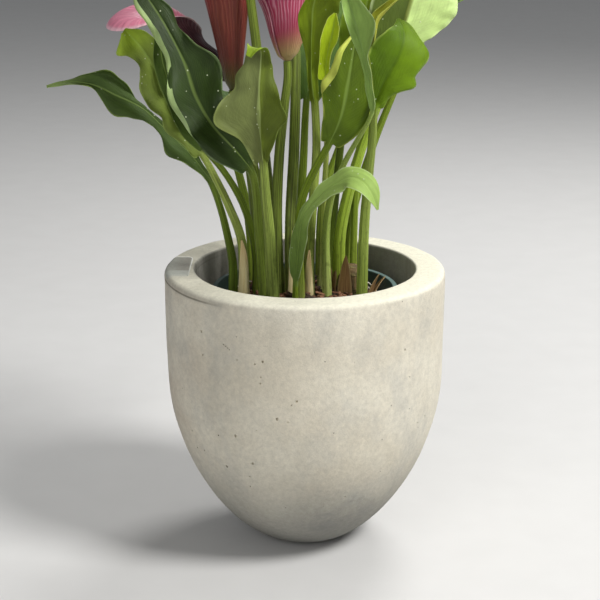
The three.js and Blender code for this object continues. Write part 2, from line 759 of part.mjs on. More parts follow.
// A strip that wraps part of a stem's foot and narrows to a point.
function sheathGeometry(sheath, stem) {
  const length = stem.curve.getLength();
  const start = (STAND_DEPTH - SHEATH_DEPTH) / length;
  const end = (sheath.top - SOIL_TOP + STAND_DEPTH) / length;
  const surface = (u, v) => {
    const s = mix(start, end, clamp(u));
    const frame = frameAt(stem.curve, s, vector([0, -1, 0]));
    const share = 1 - SHEATH_NARROWING * clamp(u) ** SHEATH_TAPER;
    const angle = degrees(0.5 * sheath.wrap * share * v + sheath.facing + 90);
    const radius = stem.radius(s) + SHEATH_GAP + SHEATH_THICKNESS + SHEATH_FLARE * clamp(u) ** 2;
    return frame.place
      .addScaledVector(frame.up, radius * Math.cos(angle))
      .addScaledVector(frame.right, radius * Math.sin(angle));
  };
  const vs = [-1, -0.5, 0, 0.5, 1];
  const us = [0, 0.25, 0.5, 0.75, 1];
  return skin(us.map((u) => sheetRing(surface, u, vs, () => SHEATH_THICKNESS)));
}

const calla = new THREE.Group();

function addPiece(name, geometry, color, roughness) {
  const material = new THREE.MeshStandardMaterial({ color, roughness, metalness: 0 });
  const mesh = new THREE.Mesh(geometry, material);
  mesh.name = name;
  calla.add(mesh);
}

// Cover pot: an egg-shaped shell with a thick rim
function potSolid() {
  const profile = [[0, 0]];
  for (let i = 0; i <= POT_CURVE_STEPS; i++) {
    const angle = (Math.PI / 2) * (i / POT_CURVE_STEPS);
    profile.push([
      mix(POT_BASE_RADIUS, POT_BELLY_RADIUS, Math.sin(angle) ** POT_ROUNDNESS),
      POT_BELLY_HEIGHT * (1 - Math.cos(angle)),
    ]);
  }
  profile.push(
    [POT_RIM_RADIUS, POT_HEIGHT - RIM_OUTER_ROUND],
    [POT_RIM_RADIUS - RIM_OUTER_ROUND, POT_HEIGHT],
    [POT_MOUTH_RADIUS + RIM_INNER_ROUND, POT_HEIGHT],
    [POT_MOUTH_RADIUS, POT_HEIGHT - RIM_INNER_ROUND],
    [POT_MOUTH_RADIUS - POT_MOUTH_TAPER, POT_BELLY_HEIGHT],
    [mix(POT_FLOOR_RADIUS, POT_MOUTH_RADIUS, POT_INNER_BULGE), mix(POT_FLOOR, POT_BELLY_HEIGHT, 0.5)],
    [POT_FLOOR_RADIUS, POT_FLOOR],
    [0, POT_FLOOR],
  );
  return solidOf(lathe(profile, POT_SIDES));
}

// Radius of the nursery pot's outside at a height above its bottom
const innerSlope = (INNER_TOP_RADIUS - INNER_BASE_RADIUS) / INNER_HEIGHT;
const innerRadius = (height) => INNER_BASE_RADIUS + innerSlope * height;

// Nursery pot: a thin tapered shell with a turned-out lip and drain holes
function innerPotSolid() {
  const bottom = POT_FLOOR + GAP;
  const top = bottom + INNER_HEIGHT;
  const profile = [
    [0, bottom],
    [INNER_BASE_RADIUS, bottom],
    [innerRadius(INNER_HEIGHT - INNER_LIP_HEIGHT), top - INNER_LIP_HEIGHT],
    [INNER_TOP_RADIUS + INNER_LIP, top - INNER_LIP_HEIGHT],
    [INNER_TOP_RADIUS + INNER_LIP, top],
    [INNER_TOP_RADIUS - INNER_WALL, top],
    [INNER_BASE_RADIUS - INNER_WALL, bottom + INNER_WALL],
    [0, bottom + INNER_WALL],
  ];
  let solid = solidOf(lathe(profile, INNER_SIDES));
  for (let i = 0; i < DRAIN_HOLES; i++) {
    const angle = (2 * Math.PI * i) / DRAIN_HOLES;
    const drill = new THREE.CylinderGeometry(DRAIN_RADIUS, DRAIN_RADIUS, 6 * INNER_WALL, STEM_SIDES);
    drill.rotateX(Math.PI / 2);
    drill.translate(DRAIN_CIRCLE * Math.cos(angle), DRAIN_CIRCLE * Math.sin(angle), bottom);
    solid = solid.subtract(solidOf(drill));
  }
  return solid;
}

const stems = new Map();

for (const leaf of LEAVES) {
  const made = leafGeometry(leaf);
  addPiece(leaf.name, made.geometry, leaf.color, 0.5);
  stems.set(leaf.name, made);
}

for (const flower of FLOWERS) {
  const name = `flower_${flower.name}`;
  const axis = vector(flower.axis).normalize();
  const head = vector(flower.stalk.at(-1));
  const neck = head.clone().addScaledVector(axis, -NECK_LENGTH);
  const route = [...flower.stalk.slice(0, -1), neck.toArray(), head.toArray()];
  const made = stemGeometry(stemCurve(flower.root, route), STEM_GIRTH);
  const foot = head.addScaledVector(axis, GAP);
  addPiece(`${name}_stem`, made.geometry, STEM_COLOR, 0.5);
  addPiece(`${name}_spathe`, alongAxis(spatheGeometry(flower), flower, foot), flower.spathe, 0.45);
  addPiece(`${name}_spadix`, alongAxis(spadixGeometry(flower), flower, foot), SPADIX_COLOR, 0.8);
  stems.set(`${name}_stem`, made);
}

for (const sheath of SHEATHS) {
  addPiece(sheath.name, sheathGeometry(sheath, stems.get(sheath.wraps)), SHEATH_COLOR, 0.8);
}

// A straight hole for each stem that stands in the soil or in the tuber's crown
function holeFor(name, stem) {
  const foot = stem.curve.getPointAt(0);
  const wrapped = SHEATHS.some((sheath) => sheath.wraps === name);
  const radius = stem.radius(0) + HOLE_CLEARANCE + (wrapped ? SHEATH_GAP + SHEATH_THICKNESS : 0);
  const hole = new THREE.CylinderGeometry(radius, radius, HOLE_LENGTH, STEM_SIDES);
  hole.rotateX(Math.PI / 2);
  return hole.translate(foot.x, foot.y, foot.z - GAP + 0.5 * HOLE_LENGTH);
}

// Loose soil with a gently domed, crumbly top
function soilSolid() {
  const bottom = POT_FLOOR + GAP + INNER_WALL + GAP;
  const wall = (z) => innerRadius(z - POT_FLOOR - GAP) - INNER_WALL - 2 * GAP;
  const profile = [[0, bottom], [wall(bottom), bottom], [wall(SOIL_TOP), SOIL_TOP]];
  for (const share of SOIL_RINGS) {
    profile.push([share * wall(SOIL_TOP), SOIL_TOP + SOIL_RISE * (1 - share ** 2)]);
  }
  profile.push([0, SOIL_TOP + SOIL_RISE]);
  const geometry = lathe(profile, INNER_SIDES);
  const place = geometry.attributes.position;
  for (let i = 0; i < place.count; i++) {
    const [x, y, z] = [place.getX(i), place.getY(i), place.getZ(i)];
    const inside = z > SOIL_TOP - GAP && Math.hypot(x, y) < SOIL_EDGE * wall(SOIL_TOP);
    const lumps = Math.sin(0.9 * x + 1.3) * Math.sin(0.8 * y + 0.4);
    const crumbs = 0.5 * Math.sin(1.9 * x - 1.4 * y);
    if (inside) place.setZ(i, z + SOIL_GRAIN * (lumps + crumbs));
  }
  return solidOf(geometry);
}

// Crown of the old tuber, a little larger all round by grow
function crownSolid(grow) {
  const profile = CROWN_PROFILE.map(([r, z]) => [r ? r + grow : 0, z]);
  return solidOf(lathe(profile, CROWN_SIDES).translate(...CROWN_PLACE, 0));
}

let soil = soilSolid().subtract(crownSolid(GAP));
let crown = crownSolid(0);
for (const [name, stem] of stems) {
  const hole = solidOf(holeFor(name, stem));
  soil = soil.subtract(hole);
  crown = crown.subtract(hole);
}

addPiece("concrete_pot", geometryOf(potSolid()), 0xb7b1a2, 0.9);
addPiece("nursery_pot", geometryOf(innerPotSolid()), 0x1f3b33, 0.5);
addPiece("soil", geometryOf(soil), 0x3a2a20, 1);
addPiece("tuber_crown", geometryOf(crown), 0x6b4a2c, 0.9);

export default calla;
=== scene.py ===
import math
import random

import bmesh
import bpy
import numpy as np
from mathutils import Euler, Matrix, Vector, noise


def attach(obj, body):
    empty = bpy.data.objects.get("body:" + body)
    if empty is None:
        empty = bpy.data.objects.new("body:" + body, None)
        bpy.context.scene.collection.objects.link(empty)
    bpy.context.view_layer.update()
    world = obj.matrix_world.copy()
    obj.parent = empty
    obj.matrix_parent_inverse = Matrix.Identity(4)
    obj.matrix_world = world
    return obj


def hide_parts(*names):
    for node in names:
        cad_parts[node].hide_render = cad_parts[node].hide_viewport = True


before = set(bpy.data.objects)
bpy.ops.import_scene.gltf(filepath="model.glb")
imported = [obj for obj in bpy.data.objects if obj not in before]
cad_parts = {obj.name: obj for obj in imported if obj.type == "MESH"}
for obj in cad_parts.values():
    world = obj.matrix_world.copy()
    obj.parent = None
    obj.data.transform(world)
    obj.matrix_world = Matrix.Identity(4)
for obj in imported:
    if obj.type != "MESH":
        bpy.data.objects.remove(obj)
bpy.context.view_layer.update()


# The camera stands 1.1 m from the pot and looks 16.6 degrees down on it. The picture is
# square, and the pot's axis lies a little right of its middle.
CAMERA_DISTANCE = 1.1
CAMERA_TILT = math.radians(16.64)
CAMERA_TARGET = Vector((-0.0032, 0, 0.159))
CAMERA_LENS = 102.7

view_back = Vector((0, -math.cos(CAMERA_TILT), math.sin(CAMERA_TILT)))
camera_data = bpy.data.cameras.new("camera")
camera_data.lens = CAMERA_LENS
camera_data.sensor_width = 36
camera = bpy.data.objects.new("camera", camera_data)
camera.location = CAMERA_TARGET + CAMERA_DISTANCE * view_back
camera.rotation_euler = (math.pi / 2 - CAMERA_TILT, 0, 0)
bpy.context.scene.collection.objects.link(camera)
bpy.context.scene.camera = camera


# The floor is a wide pale sheet of paper. Its finish and all others are worked out by
# Reading, which stands for what a finish reads at each point of a surface.
class Reading:
    """What a finish reads at a point: numbers, colours and vectors to reckon with."""

    def __init__(self, tree, socket=None):
        self.tree = tree
        self.socket = socket

    def node(self, kind, settings=None, sockets=None, output=0):
        made = self.tree.nodes.new(kind)
        for key, value in (settings or {}).items():
            setattr(made, key, value)
        for key, value in (sockets or {}).items():
            if isinstance(value, Reading):
                self.tree.links.new(value.socket, made.inputs[key])
            else:
                made.inputs[key].default_value = value
        return Reading(self.tree, made.outputs[output])

    def reckon(self, operation, *values):
        return self.node("ShaderNodeMath", {"operation": operation}, dict(enumerate(values)))

    def __add__(self, other):
        return self.reckon("ADD", self, other)

    def __radd__(self, other):
        return self.reckon("ADD", other, self)

    def __sub__(self, other):
        return self.reckon("SUBTRACT", self, other)

    def __rsub__(self, other):
        return self.reckon("SUBTRACT", other, self)

    def __mul__(self, other):
        return self.reckon("MULTIPLY", self, other)

    def __rmul__(self, other):
        return self.reckon("MULTIPLY", other, self)

    def __truediv__(self, other):
        return self.reckon("DIVIDE", self, other)

    def __pow__(self, other):
        return self.reckon("POWER", self, other)

    def __abs__(self):
        return self.reckon("ABSOLUTE", self)

    def waves(self):
        """1 at each whole number, 0 half-way between."""
        return self.reckon("COSINE", self * (2 * math.pi)) * 0.5 + 0.5

    def between(self, low, high):
        """0 up to low, 1 from high on, and smooth between them."""
        return self.node("ShaderNodeMapRange", {"interpolation_type": "SMOOTHSTEP"},
                         {"Value": self, "From Min": low, "From Max": high})

    def parts(self):
        made = self.node("ShaderNodeSeparateXYZ", None, {0: self})
        outputs = made.socket.node.outputs
        return [Reading(self.tree, outputs[axis]) for axis in "XYZ"]

    def stretched(self, scale):
        return self.node("ShaderNodeVectorMath", {"operation": "MULTIPLY"}, {0: self, 1: scale})

    def joined(self, *others):
        """A vector of this number and two others."""
        return self.node("ShaderNodeCombineXYZ", None, dict(enumerate((self, *others))))

    def noise(self, scale, detail=2.0, roughness=0.5):
        return self.node("ShaderNodeTexNoise", None,
                         {"Vector": self, "Scale": scale, "Detail": detail, "Roughness": roughness})

    def mix(self, first, second):
        """first where this is 0 and second where it is 1, both colours."""
        first, second = [c if isinstance(c, Reading) else (*c, 1) for c in (first, second)]
        return self.node("ShaderNodeMix", {"data_type": "RGBA"},
                         {0: self, 6: first, 7: second}, 2)

    def shaded(self, amount):
        """This colour times amount, a number at each point."""
        return self.node("ShaderNodeMix", {"data_type": "RGBA", "blend_type": "MULTIPLY"},
                         {0: 1.0, 6: self, 7: amount}, 2)

    def cells(self, scale, output=0):
        """How far the nearest of many scattered points is, or the colour that it has."""
        return self.node("ShaderNodeTexVoronoi", None, {"Vector": self, "Scale": scale}, output)

    def bump(self, depth):
        return self.node("ShaderNodeBump", None,
                         {"Height": self, "Distance": depth, "Strength": 1.0})


def finish(name, look, **fixed):
    """A material: look gives the inputs that change over a surface, fixed the others."""
    material = bpy.data.materials.new(name)
    material.use_nodes = True
    tree = material.node_tree
    shader = tree.nodes["Principled BSDF"]
    for socket, reading in look(Reading(tree)).items():
        tree.links.new(reading.socket, shader.inputs[socket])
    for socket, value in fixed.items():
        shader.inputs[socket.replace("_", " ")].default_value = value
    return material


def object_place(here):
    return here.node("ShaderNodeTexCoord", output="Object")


def paper_look(here):
    grain = object_place(here).noise(30, 2)
    return {"Base Color": grain.mix((0.62, 0.61, 0.59), (0.66, 0.65, 0.63))}


bpy.ops.object.select_all(action="DESELECT")
bpy.ops.mesh.primitive_plane_add(size=24)
floor = bpy.context.active_object
floor.name = "floor"
floor.data.materials.append(finish("floor_paper", paper_look, Roughness=0.9))


# Soft studio light: a large key light high on the front right, a weak fill on the left, a
# light from behind for the leaf margins, and a pale room.
def softbox(name, place, target, size, power):
    lamp = bpy.data.lights.new(name, "AREA")
    lamp.shape = "DISK"
    lamp.size = size
    lamp.energy = power
    box = bpy.data.objects.new(name, lamp)
    box.location = place
    box.rotation_euler = (Vector(place) - Vector(target)).to_track_quat("Z", "Y").to_euler()
    bpy.context.scene.collection.objects.link(box)


softbox("key_light", (1.15, -0.66, 1.55), (0, 0, 0.2), 0.6, 36)
softbox("fill_light", (-0.7, -1.5, 0.9), (0, 0, 0.2), 1.2, 8)
softbox("back_light", (0.5, 0.9, 1.3), (0, 0, 0.3), 0.6, 12)
room = bpy.data.worlds.new("room")
room.use_nodes = True
room.node_tree.nodes["Background"].inputs["Color"].default_value = (0.8, 0.83, 0.87, 1)
room.node_tree.nodes["Background"].inputs["Strength"].default_value = 0.24
bpy.context.scene.world = room
bpy.context.scene.view_settings.view_transform = "Standard"


# Cover pot: cast concrete, turned round its axis, with a thick rounded rim. Air bubbles left
# small holes in the outside, and a thin raised line crosses the rim on the left; its pale
# colour is a painted highlight.
MM = 0.001
POT_HEIGHT = 181.5
POT_RIM_RADIUS = 90
POT_BELLY_RADIUS = 89.5
POT_BELLY_HEIGHT = 120
POT_BASE_RADIUS = 22
POT_ROUNDNESS = 1.36
POT_MOUTH_RADIUS = 71
POT_FLOOR = 45
POT_SIDES = 160
RIM_OUTER_ROUND = 3.5
RIM_INNER_ROUND = 1.4


def turned(name, profile, sides, centre=(0, 0)):
    """A closed body turned about an upright axis from points of radius and height."""
    bpy.ops.object.select_all(action="DESELECT")
    radius, height = profile[0]
    bpy.ops.mesh.primitive_circle_add(
        vertices=sides, radius=radius * MM, location=(0, 0, 0), fill_type="NOTHING")
    body = bpy.context.active_object
    body.name = name
    bpy.ops.object.mode_set(mode="EDIT")
    bpy.ops.mesh.select_all(action="SELECT")
    bpy.ops.transform.translate(value=(0, 0, height * MM))
    for (r0, z0), (r1, z1) in zip(profile, profile[1:]):
        bpy.ops.mesh.extrude_region_move(
            TRANSFORM_OT_translate={"value": (0, 0, (z1 - z0) * MM)})
        bpy.ops.transform.resize(
            value=(r1 / r0, r1 / r0, 1), center_override=(0, 0, z1 * MM))
    bpy.ops.mesh.select_all(action="SELECT")
    bpy.ops.mesh.fill_holes(sides=0)
    bpy.ops.mesh.select_all(action="SELECT")
    bpy.ops.mesh.normals_make_consistent(inside=False)
    bpy.ops.transform.translate(value=(centre[0] * MM, centre[1] * MM, 0))
    bpy.ops.object.mode_set(mode="OBJECT")
    return body


def arc(centre, radius, start, end, steps):
    """Points of an arc in the plane of radius and height, in degrees."""
    angles = np.radians(np.linspace(start, end, steps))
    return [(centre[0] + radius * math.cos(a), centre[1] + radius * math.sin(a)) for a in angles]


def pick(*bodies):
    """Selects these bodies alone and makes the first of them the active one."""
    bpy.ops.object.select_all(action="DESELECT")
    for body in bodies:
        body.select_set(True)
    bpy.context.view_layer.objects.active = bodies[0]


def joined(*bodies):
    pick(*bodies)
    bpy.ops.object.join()
    return bodies[0]


def apply_modifier(body, kind, **settings):
    pick(body)
    modifier = body.modifiers.new(kind.lower(), kind)
    for key, value in settings.items():
        setattr(modifier, key, value)
    bpy.ops.object.modifier_apply(modifier=modifier.name)


def cut_away(body, cutter):
    apply_modifier(body, "BOOLEAN", operation="DIFFERENCE", object=cutter, solver="EXACT")
    bpy.data.objects.remove(cutter)


def smooth(body, angle=35):
    pick(body)
    bpy.ops.object.shade_smooth_by_angle(angle=math.radians(angle))


def dress(piece, material):
    """Gives a piece its finish and its slot and lets it move with the part."""
    piece.data.materials.clear()
    piece.data.materials.append(material)
    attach(piece, "root")


def stand_for(piece, node, material):
    """Dresses a piece and hides the plain node that it replaces."""
    dress(piece, material)
    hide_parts(node)


pot_profile = [(POT_BASE_RADIUS, 0)]
for angle in np.radians(np.linspace(3, 90, 30)):
    swelling = math.sin(angle) ** POT_ROUNDNESS
    pot_profile.append((
        POT_BASE_RADIUS + (POT_BELLY_RADIUS - POT_BASE_RADIUS) * swelling,
        POT_BELLY_HEIGHT * (1 - math.cos(angle)),
    ))
pot_profile += [(POT_RIM_RADIUS - 0.3, 135), (POT_RIM_RADIUS - 0.1, 155), (POT_RIM_RADIUS, 170)]
pot_profile += arc((POT_RIM_RADIUS - RIM_OUTER_ROUND, POT_HEIGHT - RIM_OUTER_ROUND),
                   RIM_OUTER_ROUND, 0, 90, 6)
pot_profile += [(84, POT_HEIGHT), (78, POT_HEIGHT)]
pot_profile += arc((POT_MOUTH_RADIUS + RIM_INNER_ROUND, POT_HEIGHT - RIM_INNER_ROUND),
                   RIM_INNER_ROUND, 90, 180, 5)
pot_profile += [(70.8, 172), (70.6, 160), (70.3, 140), (70, 120), (67, 100), (62.9, 82.5),
                (54, 62), (44, POT_FLOOR)]
pot = turned("cover_pot", pot_profile, POT_SIDES)


def wall_shift(point):
    """How far the wall stands off its true circle, because the casting wanders a little."""
    return (noise.noise(point * 28) * 0.5 + noise.noise(point * 75) * 0.22 - 0.6) * MM


for vertex in pot.data.vertices:
    if vertex.co.z > 0.0005:
        radial = Vector((vertex.co.x, vertex.co.y, 0))
        if radial.length > 0.001:
            vertex.co += radial.normalized() * wall_shift(vertex.co)
            vertex.co.z += noise.noise(vertex.co * 60 + Vector((3, 1, 7))) * 0.15 * MM
smooth(pot)

# Air holes in the wall: compass direction from the front in degrees, height, radius
AIR_HOLES = [
    (-44.8, 158, 0.9), (-44.4, 143, 0.55), (-27.4, 145, 0.5), (-19.8, 144, 0.6),
    (-16.6, 146, 0.8), (-17.4, 136, 0.5), (-17.6, 132, 0.6), (-3.3, 122, 0.7), (-5.3, 119.5, 0.5),
    (-11.1, 110, 0.9), (-6.8, 108.5, 0.5), (-55.7, 88, 0.6), (-38, 92.5, 0.6), (-29.3, 95, 0.9),
    (-19.6, 101, 0.45), (-54.6, 76.5, 0.55), (-49.2, 77, 0.5), (-36.9, 70.5, 1),
    (-22.9, 77, 0.9), (-25.5, 66.5, 0.5), (-26.7, 58.5, 0.5), (42.9, 147, 0.6), (54.5, 94, 0.5),
    (-33.3, 153.4, 0.5), (-32.4, 152.5, 0.45), (-31.5, 151.6, 0.5), (-30.7, 150.8, 0.45),
    (20, 52, 0.5), (60, 96, 0.6), (95, 110, 0.9), (110, 80, 0.7), (130, 132, 1), (150, 95, 0.8),
    (170, 60, 0.9), (-100, 118, 0.8), (-120, 90, 0.7), (-140, 135, 0.9), (-160, 75, 0.8),
]


# The first points of the profile, which run up the outside of the wall
WALL_POINTS = 36
HOLE_DEPTH = 2.2


def pot_radius(height):
    """The outside radius of the wall at a height."""
    radii, heights = zip(*pot_profile[:WALL_POINTS])
    return float(np.interp(height, heights, radii))


holes = []
for compass, height, radius in AIR_HOLES:
    turn = math.radians(compass)
    outward = Vector((math.sin(turn), -math.cos(turn), 0))
    on_wall = outward * pot_radius(height) * MM + Vector((0, 0, height * MM))
    bpy.ops.mesh.primitive_ico_sphere_add(
        subdivisions=2, radius=radius * MM, rotation=(0, 0, turn),
        location=on_wall + outward * wall_shift(on_wall))
    hole = bpy.context.active_object
    hole.scale = (1, HOLE_DEPTH, 0.9 + 0.5 * (compass % 1))
    holes.append(hole)
all_holes = joined(*holes)
bpy.ops.object.transform_apply(location=True, rotation=True, scale=True)
cut_away(pot, all_holes)


def concrete_look(here):
    place = object_place(here)
    x, y, height = place.parts()
    clouds = place.noise(14, 4, 0.65).between(0.3, 0.7)
    patches = place.stretched((1, 1, 0.7)).noise(26, 5, 0.7).between(0.45, 0.72)
    drips = place.stretched((1, 1, 0.12)).noise(60, 3, 0.6).between(0.5, 0.8)
    sand = place.noise(1100, 2, 0.7)
    grit = place.noise(330, 4, 0.7)
    colour = clouds.mix((0.68, 0.64, 0.53), (0.6, 0.55, 0.44))
    # Painted shade: the left side is made darker and browner in cloudy patches, as the side turned
    # away from the key light.
    left_painted_shade = (1 - x.between(-0.09, -0.05)) * clouds * 0.5
    colour = left_painted_shade.mix(colour, (0.42, 0.33, 0.26))
    colour = (patches * 0.42).mix(colour, (0.40, 0.395, 0.36))
    smudge = 1 - ((x - 0.014) ** 2 * 700 + (height - 0.04) ** 2 * 1600).between(0.1, 1)
    colour = (smudge * 0.5 * (0.4 + patches)).mix(colour, (0.3, 0.3, 0.28))
    colour = (drips * 0.25).mix(colour, (0.36, 0.345, 0.29))
    # Painted shade: darker towards the bottom, where the pot curves under, away from the light.
    low = 1 - height.between(0.0, 0.09)
    colour = (low * 0.85).mix(colour, (0.15, 0.155, 0.15))
    # Painted light: the flat rim top is made paler and creamier, as the face that catches the
    # light.
    top = height.between(0.1785, 0.1805)
    colour = (top * 0.75).mix(colour, (0.78, 0.75, 0.6))
    # Painted shadow of the leaves on the left half of the rim, in a band just under its top, greyer
    # in patches.
    grey = height.between(0.174, 0.179) * (1 - x.between(-0.075, -0.02)) * (0.6 + 0.4 * patches)
    colour = (grey * 0.6).mix(colour, (0.3, 0.285, 0.23))
    # Painted shade: a dark line round the outer rounded arris on the left, which faces away from
    # the light.
    left_side = 1 - x.between(-0.07, -0.045)
    left_arris_painted_shade = height.between(0.1762, 0.1768) * (1 - height.between(0.1774, 0.178)) * left_side
    colour = (left_arris_painted_shade * 0.75).mix(colour, (0.14, 0.125, 0.09))
    # Painted shade: the inner wall is coloured darker than the outside, as shade in the pot's
    # hollow, and darker still in vertical streaks.
    inside = (1 - (x * x + y * y).between(0.00495, 0.0052)) * height.between(0.058, 0.06)
    colour = (inside * 0.75).mix(colour, (0.36, 0.345, 0.3))
    streaks = place.stretched((1, 1, 0.08)).noise(170, 3, 0.6)
    colour = colour.shaded(1 - 0.5 * inside * streaks)
    # Painted shade on the rim top within the bend of the raised line on the left: bluish grey, with
    # a darker patch towards the line's corner.
    shade = top * (1 - x.between(-0.0745, -0.0725)) * (1 - y.between(0.0215, 0.0225))
    bluish_painted_shade = shade * y.between(-0.027, -0.019)
    colour = (bluish_painted_shade * 0.7).mix(colour, (0.36, 0.38, 0.35))
    corner = shade * y.between(-0.0105, -0.0095) * (0.3 + 0.4 * x.between(-0.088, -0.076))
    colour = corner.mix(colour, (0.24, 0.22, 0.18))
    colour = colour.shaded(0.74 + 0.52 * grit)
    colour = colour.shaded(0.88 + 0.24 * sand)
    # Pinholes: small dark dots of painted shade in the pits, also sunk by the bump.
    kind = place.cells(170, "Color").parts()[0]
    pinhole_painted_shade = (1 - place.cells(170).between(0.04, 0.09)) * kind.between(0.86, 0.865)
    colour = (pinhole_painted_shade * 0.75).mix(colour, (0.13, 0.12, 0.1))
    relief = grit * 0.5 + sand * 0.3 - pinhole_painted_shade
    return {"Base Color": colour, "Roughness": 0.82 + 0.14 * grit, "Normal": relief.bump(0.0005)}


stand_for(pot, "concrete_pot", finish("cast_concrete", concrete_look))


def bead(name, points, radius):
    """A thin raised line along points, as a closed round tube."""
    line = bpy.data.curves.new(name, "CURVE")
    line.dimensions = "3D"
    line.bevel_depth = radius * MM
    line.bevel_resolution = 3
    line.use_fill_caps = True
    spline = line.splines.new("POLY")
    spline.points.add(len(points) - 1)
    for place, point in zip(points, spline.points):
        point.co = (*[c * MM for c in place], 1)
    made = bpy.data.objects.new(name, line)
    bpy.context.scene.collection.objects.link(made)
    pick(made)
    bpy.ops.object.convert(target="MESH")
    bpy.ops.object.mode_set(mode="EDIT")
    bpy.ops.mesh.select_all(action="SELECT")
    bpy.ops.mesh.remove_doubles(threshold=0.00001)
    bpy.ops.mesh.normals_make_consistent(inside=False)
    bpy.ops.object.mode_set(mode="OBJECT")
    smooth(bpy.context.active_object, 60)
    return bpy.context.active_object


def seam_look(here):
    # Painted highlight: the raised line is coloured pale as the light caught along its edge, fading
    # to grey at its front end, which lies in the painted shade.
    highlight_fade = object_place(here).parts()[1].between(-0.024, 0.004)
    return {"Base Color": highlight_fade.mix((0.42, 0.43, 0.38), (0.88, 0.87, 0.8))}


SEAM_CORNER = 3.5
SEAM_SUNK = 0.25
seam_corner = arc((-73 - SEAM_CORNER, 22.5 - SEAM_CORNER), SEAM_CORNER, 85, 5, 6)
seam_route = [(-85.8, 23.1), (-85.2, 23.1), (-84.4, 23.1), (-83, 23), (-80, 22.9), *seam_corner,
              (-73, 10), (-73.2, -8), (-73.6, -22)]
seam_line = []
for x, y in seam_route:
    past_arris = max(0, math.hypot(x, y) - POT_RIM_RADIUS + RIM_OUTER_ROUND + 0.6)
    drop = RIM_OUTER_ROUND - math.sqrt(max(0, RIM_OUTER_ROUND ** 2 - past_arris ** 2))
    seam_line.append((x, y, POT_HEIGHT - SEAM_SUNK - drop))
seam = bead("rim_seam", seam_line, 0.5)
dress(seam, finish("seam_painted_highlight", seam_look, Roughness=0.6))


# Nursery pot: thin dark green plastic, moulded with a taper, a turned-out lip and five drain
# holes. It stands loose on the cover pot's floor.
NURSERY_BOTTOM = 45.3
nursery_profile = [(40, 0), (41, 0.6), (43, 15), (47, 46), (52, 85), (56.3, 117.5), (59, 118),
                   (59.5, 118.5), (59.5, 122.4), (59, 123), (56.4, 123), (56, 122.4),
                   (51, 85), (46, 46), (42, 15), (40, 1)]
nursery_profile = [(r, z + NURSERY_BOTTOM) for r, z in nursery_profile]
nursery_pot = turned("nursery_pot_shell", nursery_profile, 96)
for step in range(5):
    turn = 2 * math.pi * step / 5
    bpy.ops.mesh.primitive_cylinder_add(
        vertices=24, radius=4 * MM, depth=6 * MM,
        location=(24 * math.cos(turn) * MM, 24 * math.sin(turn) * MM, NURSERY_BOTTOM * MM))
    drill = bpy.context.active_object
    bpy.ops.object.transform_apply(location=True, rotation=True, scale=True)
    cut_away(nursery_pot, drill)
smooth(nursery_pot)


def nursery_look(here):
    place = object_place(here)
    dust = place.noise(90, 3).between(0.45, 0.75)
    x, _, height = place.parts()
    # Painted highlight: the top of the lip is paler on its right, where it catches the light.
    rim = height.between(0.1677, 0.1682) * x.between(-0.01, 0.02)
    colour = (dust * 0.35).mix((0.012, 0.035, 0.03), (0.09, 0.1, 0.08))
    colour = (rim * 0.6).mix(colour, (0.16, 0.25, 0.23))
    return {"Base Color": colour, "Roughness": 0.38 + 0.3 * dust,
            "Normal": place.noise(1500, 1).bump(0.00008)}


stand_for(nursery_pot, "nursery_pot", finish("nursery_plastic", nursery_look))


# Soil: dark peat with bark fibres, filled into the nursery pot to 13 mm below its lip and
# heaped round the stems to just below the lip.
SOIL_TOP = 155
SOIL_RADIUS = 53.6
SOIL_DOME = 3
SOIL_HEAP = 8.5


def soil_level(reach):
    """Height of the slightly domed fill at a distance from the pot's axis."""
    return SOIL_TOP + SOIL_DOME * (1 - (reach / SOIL_RADIUS) ** 2)


soil_profile = [(40, 46.6), (44, 78), (50, 125), (SOIL_RADIUS, 154.2)]
soil_profile += [(r, soil_level(r)) for r in np.linspace(53, 1.2, 46)]
soil = turned("soil_fill", soil_profile, 128)


def soil_heap(x, y):
    """How far the soil is heaped above its fill at a place."""
    return SOIL_HEAP * max(0.0, 1 - (math.hypot(x, y) / 53) ** 5)


for vertex in soil.data.vertices:
    if vertex.co.z > (SOIL_TOP - 0.5) * MM:
        crumbs = noise.turbulence(vertex.co * 130, 3, True) * 2.6
        lumps = noise.noise(vertex.co * 45) * 1.6
        heap = soil_heap(vertex.co.x / MM, vertex.co.y / MM)
        vertex.co.z += (crumbs + lumps - 1.2 + heap) * MM
smooth(soil, 180)


def soil_look(here):
    place = object_place(here)
    fibres = place.stretched((1, 3, 2)).noise(420, 4, 0.7)
    bark = place.noise(170, 2).between(0.52, 0.6)
    colour = fibres.between(0.35, 0.7).mix((0.012, 0.008, 0.006), (0.07, 0.038, 0.022))
    colour = (bark * 0.6).mix(colour, (0.13, 0.06, 0.03))
    return {"Base Color": colour, "Normal": fibres.bump(0.0012)}


stand_for(soil, "soil", finish("peat_soil", soil_look, Roughness=0.95))


# Bark chips and fibres lie loose on the soil: one rough chip is shaped once and strewn with
# a fixed random draw, all joined into one layer.
CHIP_COUNT = 420
CHIP_REACH = 50
CHIP_SIZES = ((1.5, 7), (0.8, 2), (0.5, 1.3))
CHIP_TURNS = ((-0.5, 0.5), (-0.5, 0.5), (0, 6.3))
bpy.ops.object.select_all(action="DESELECT")
bpy.ops.mesh.primitive_cube_add(size=1)
chip = bpy.context.active_object
bpy.ops.object.mode_set(mode="EDIT")
bpy.ops.mesh.subdivide(number_cuts=1)
bpy.ops.mesh.select_all(action="DESELECT")
bpy.ops.object.mode_set(mode="OBJECT")
chip_draw = random.Random(4)
chip_points = []
for vertex in chip.data.vertices:
    jitter = Vector([chip_draw.uniform(-0.12, 0.12) for _ in range(3)])
    chip_points.append(vertex.co.normalized() * 0.5 + vertex.co * 0.35 + jitter)
chip_faces = [list(face.vertices) for face in chip.data.polygons]
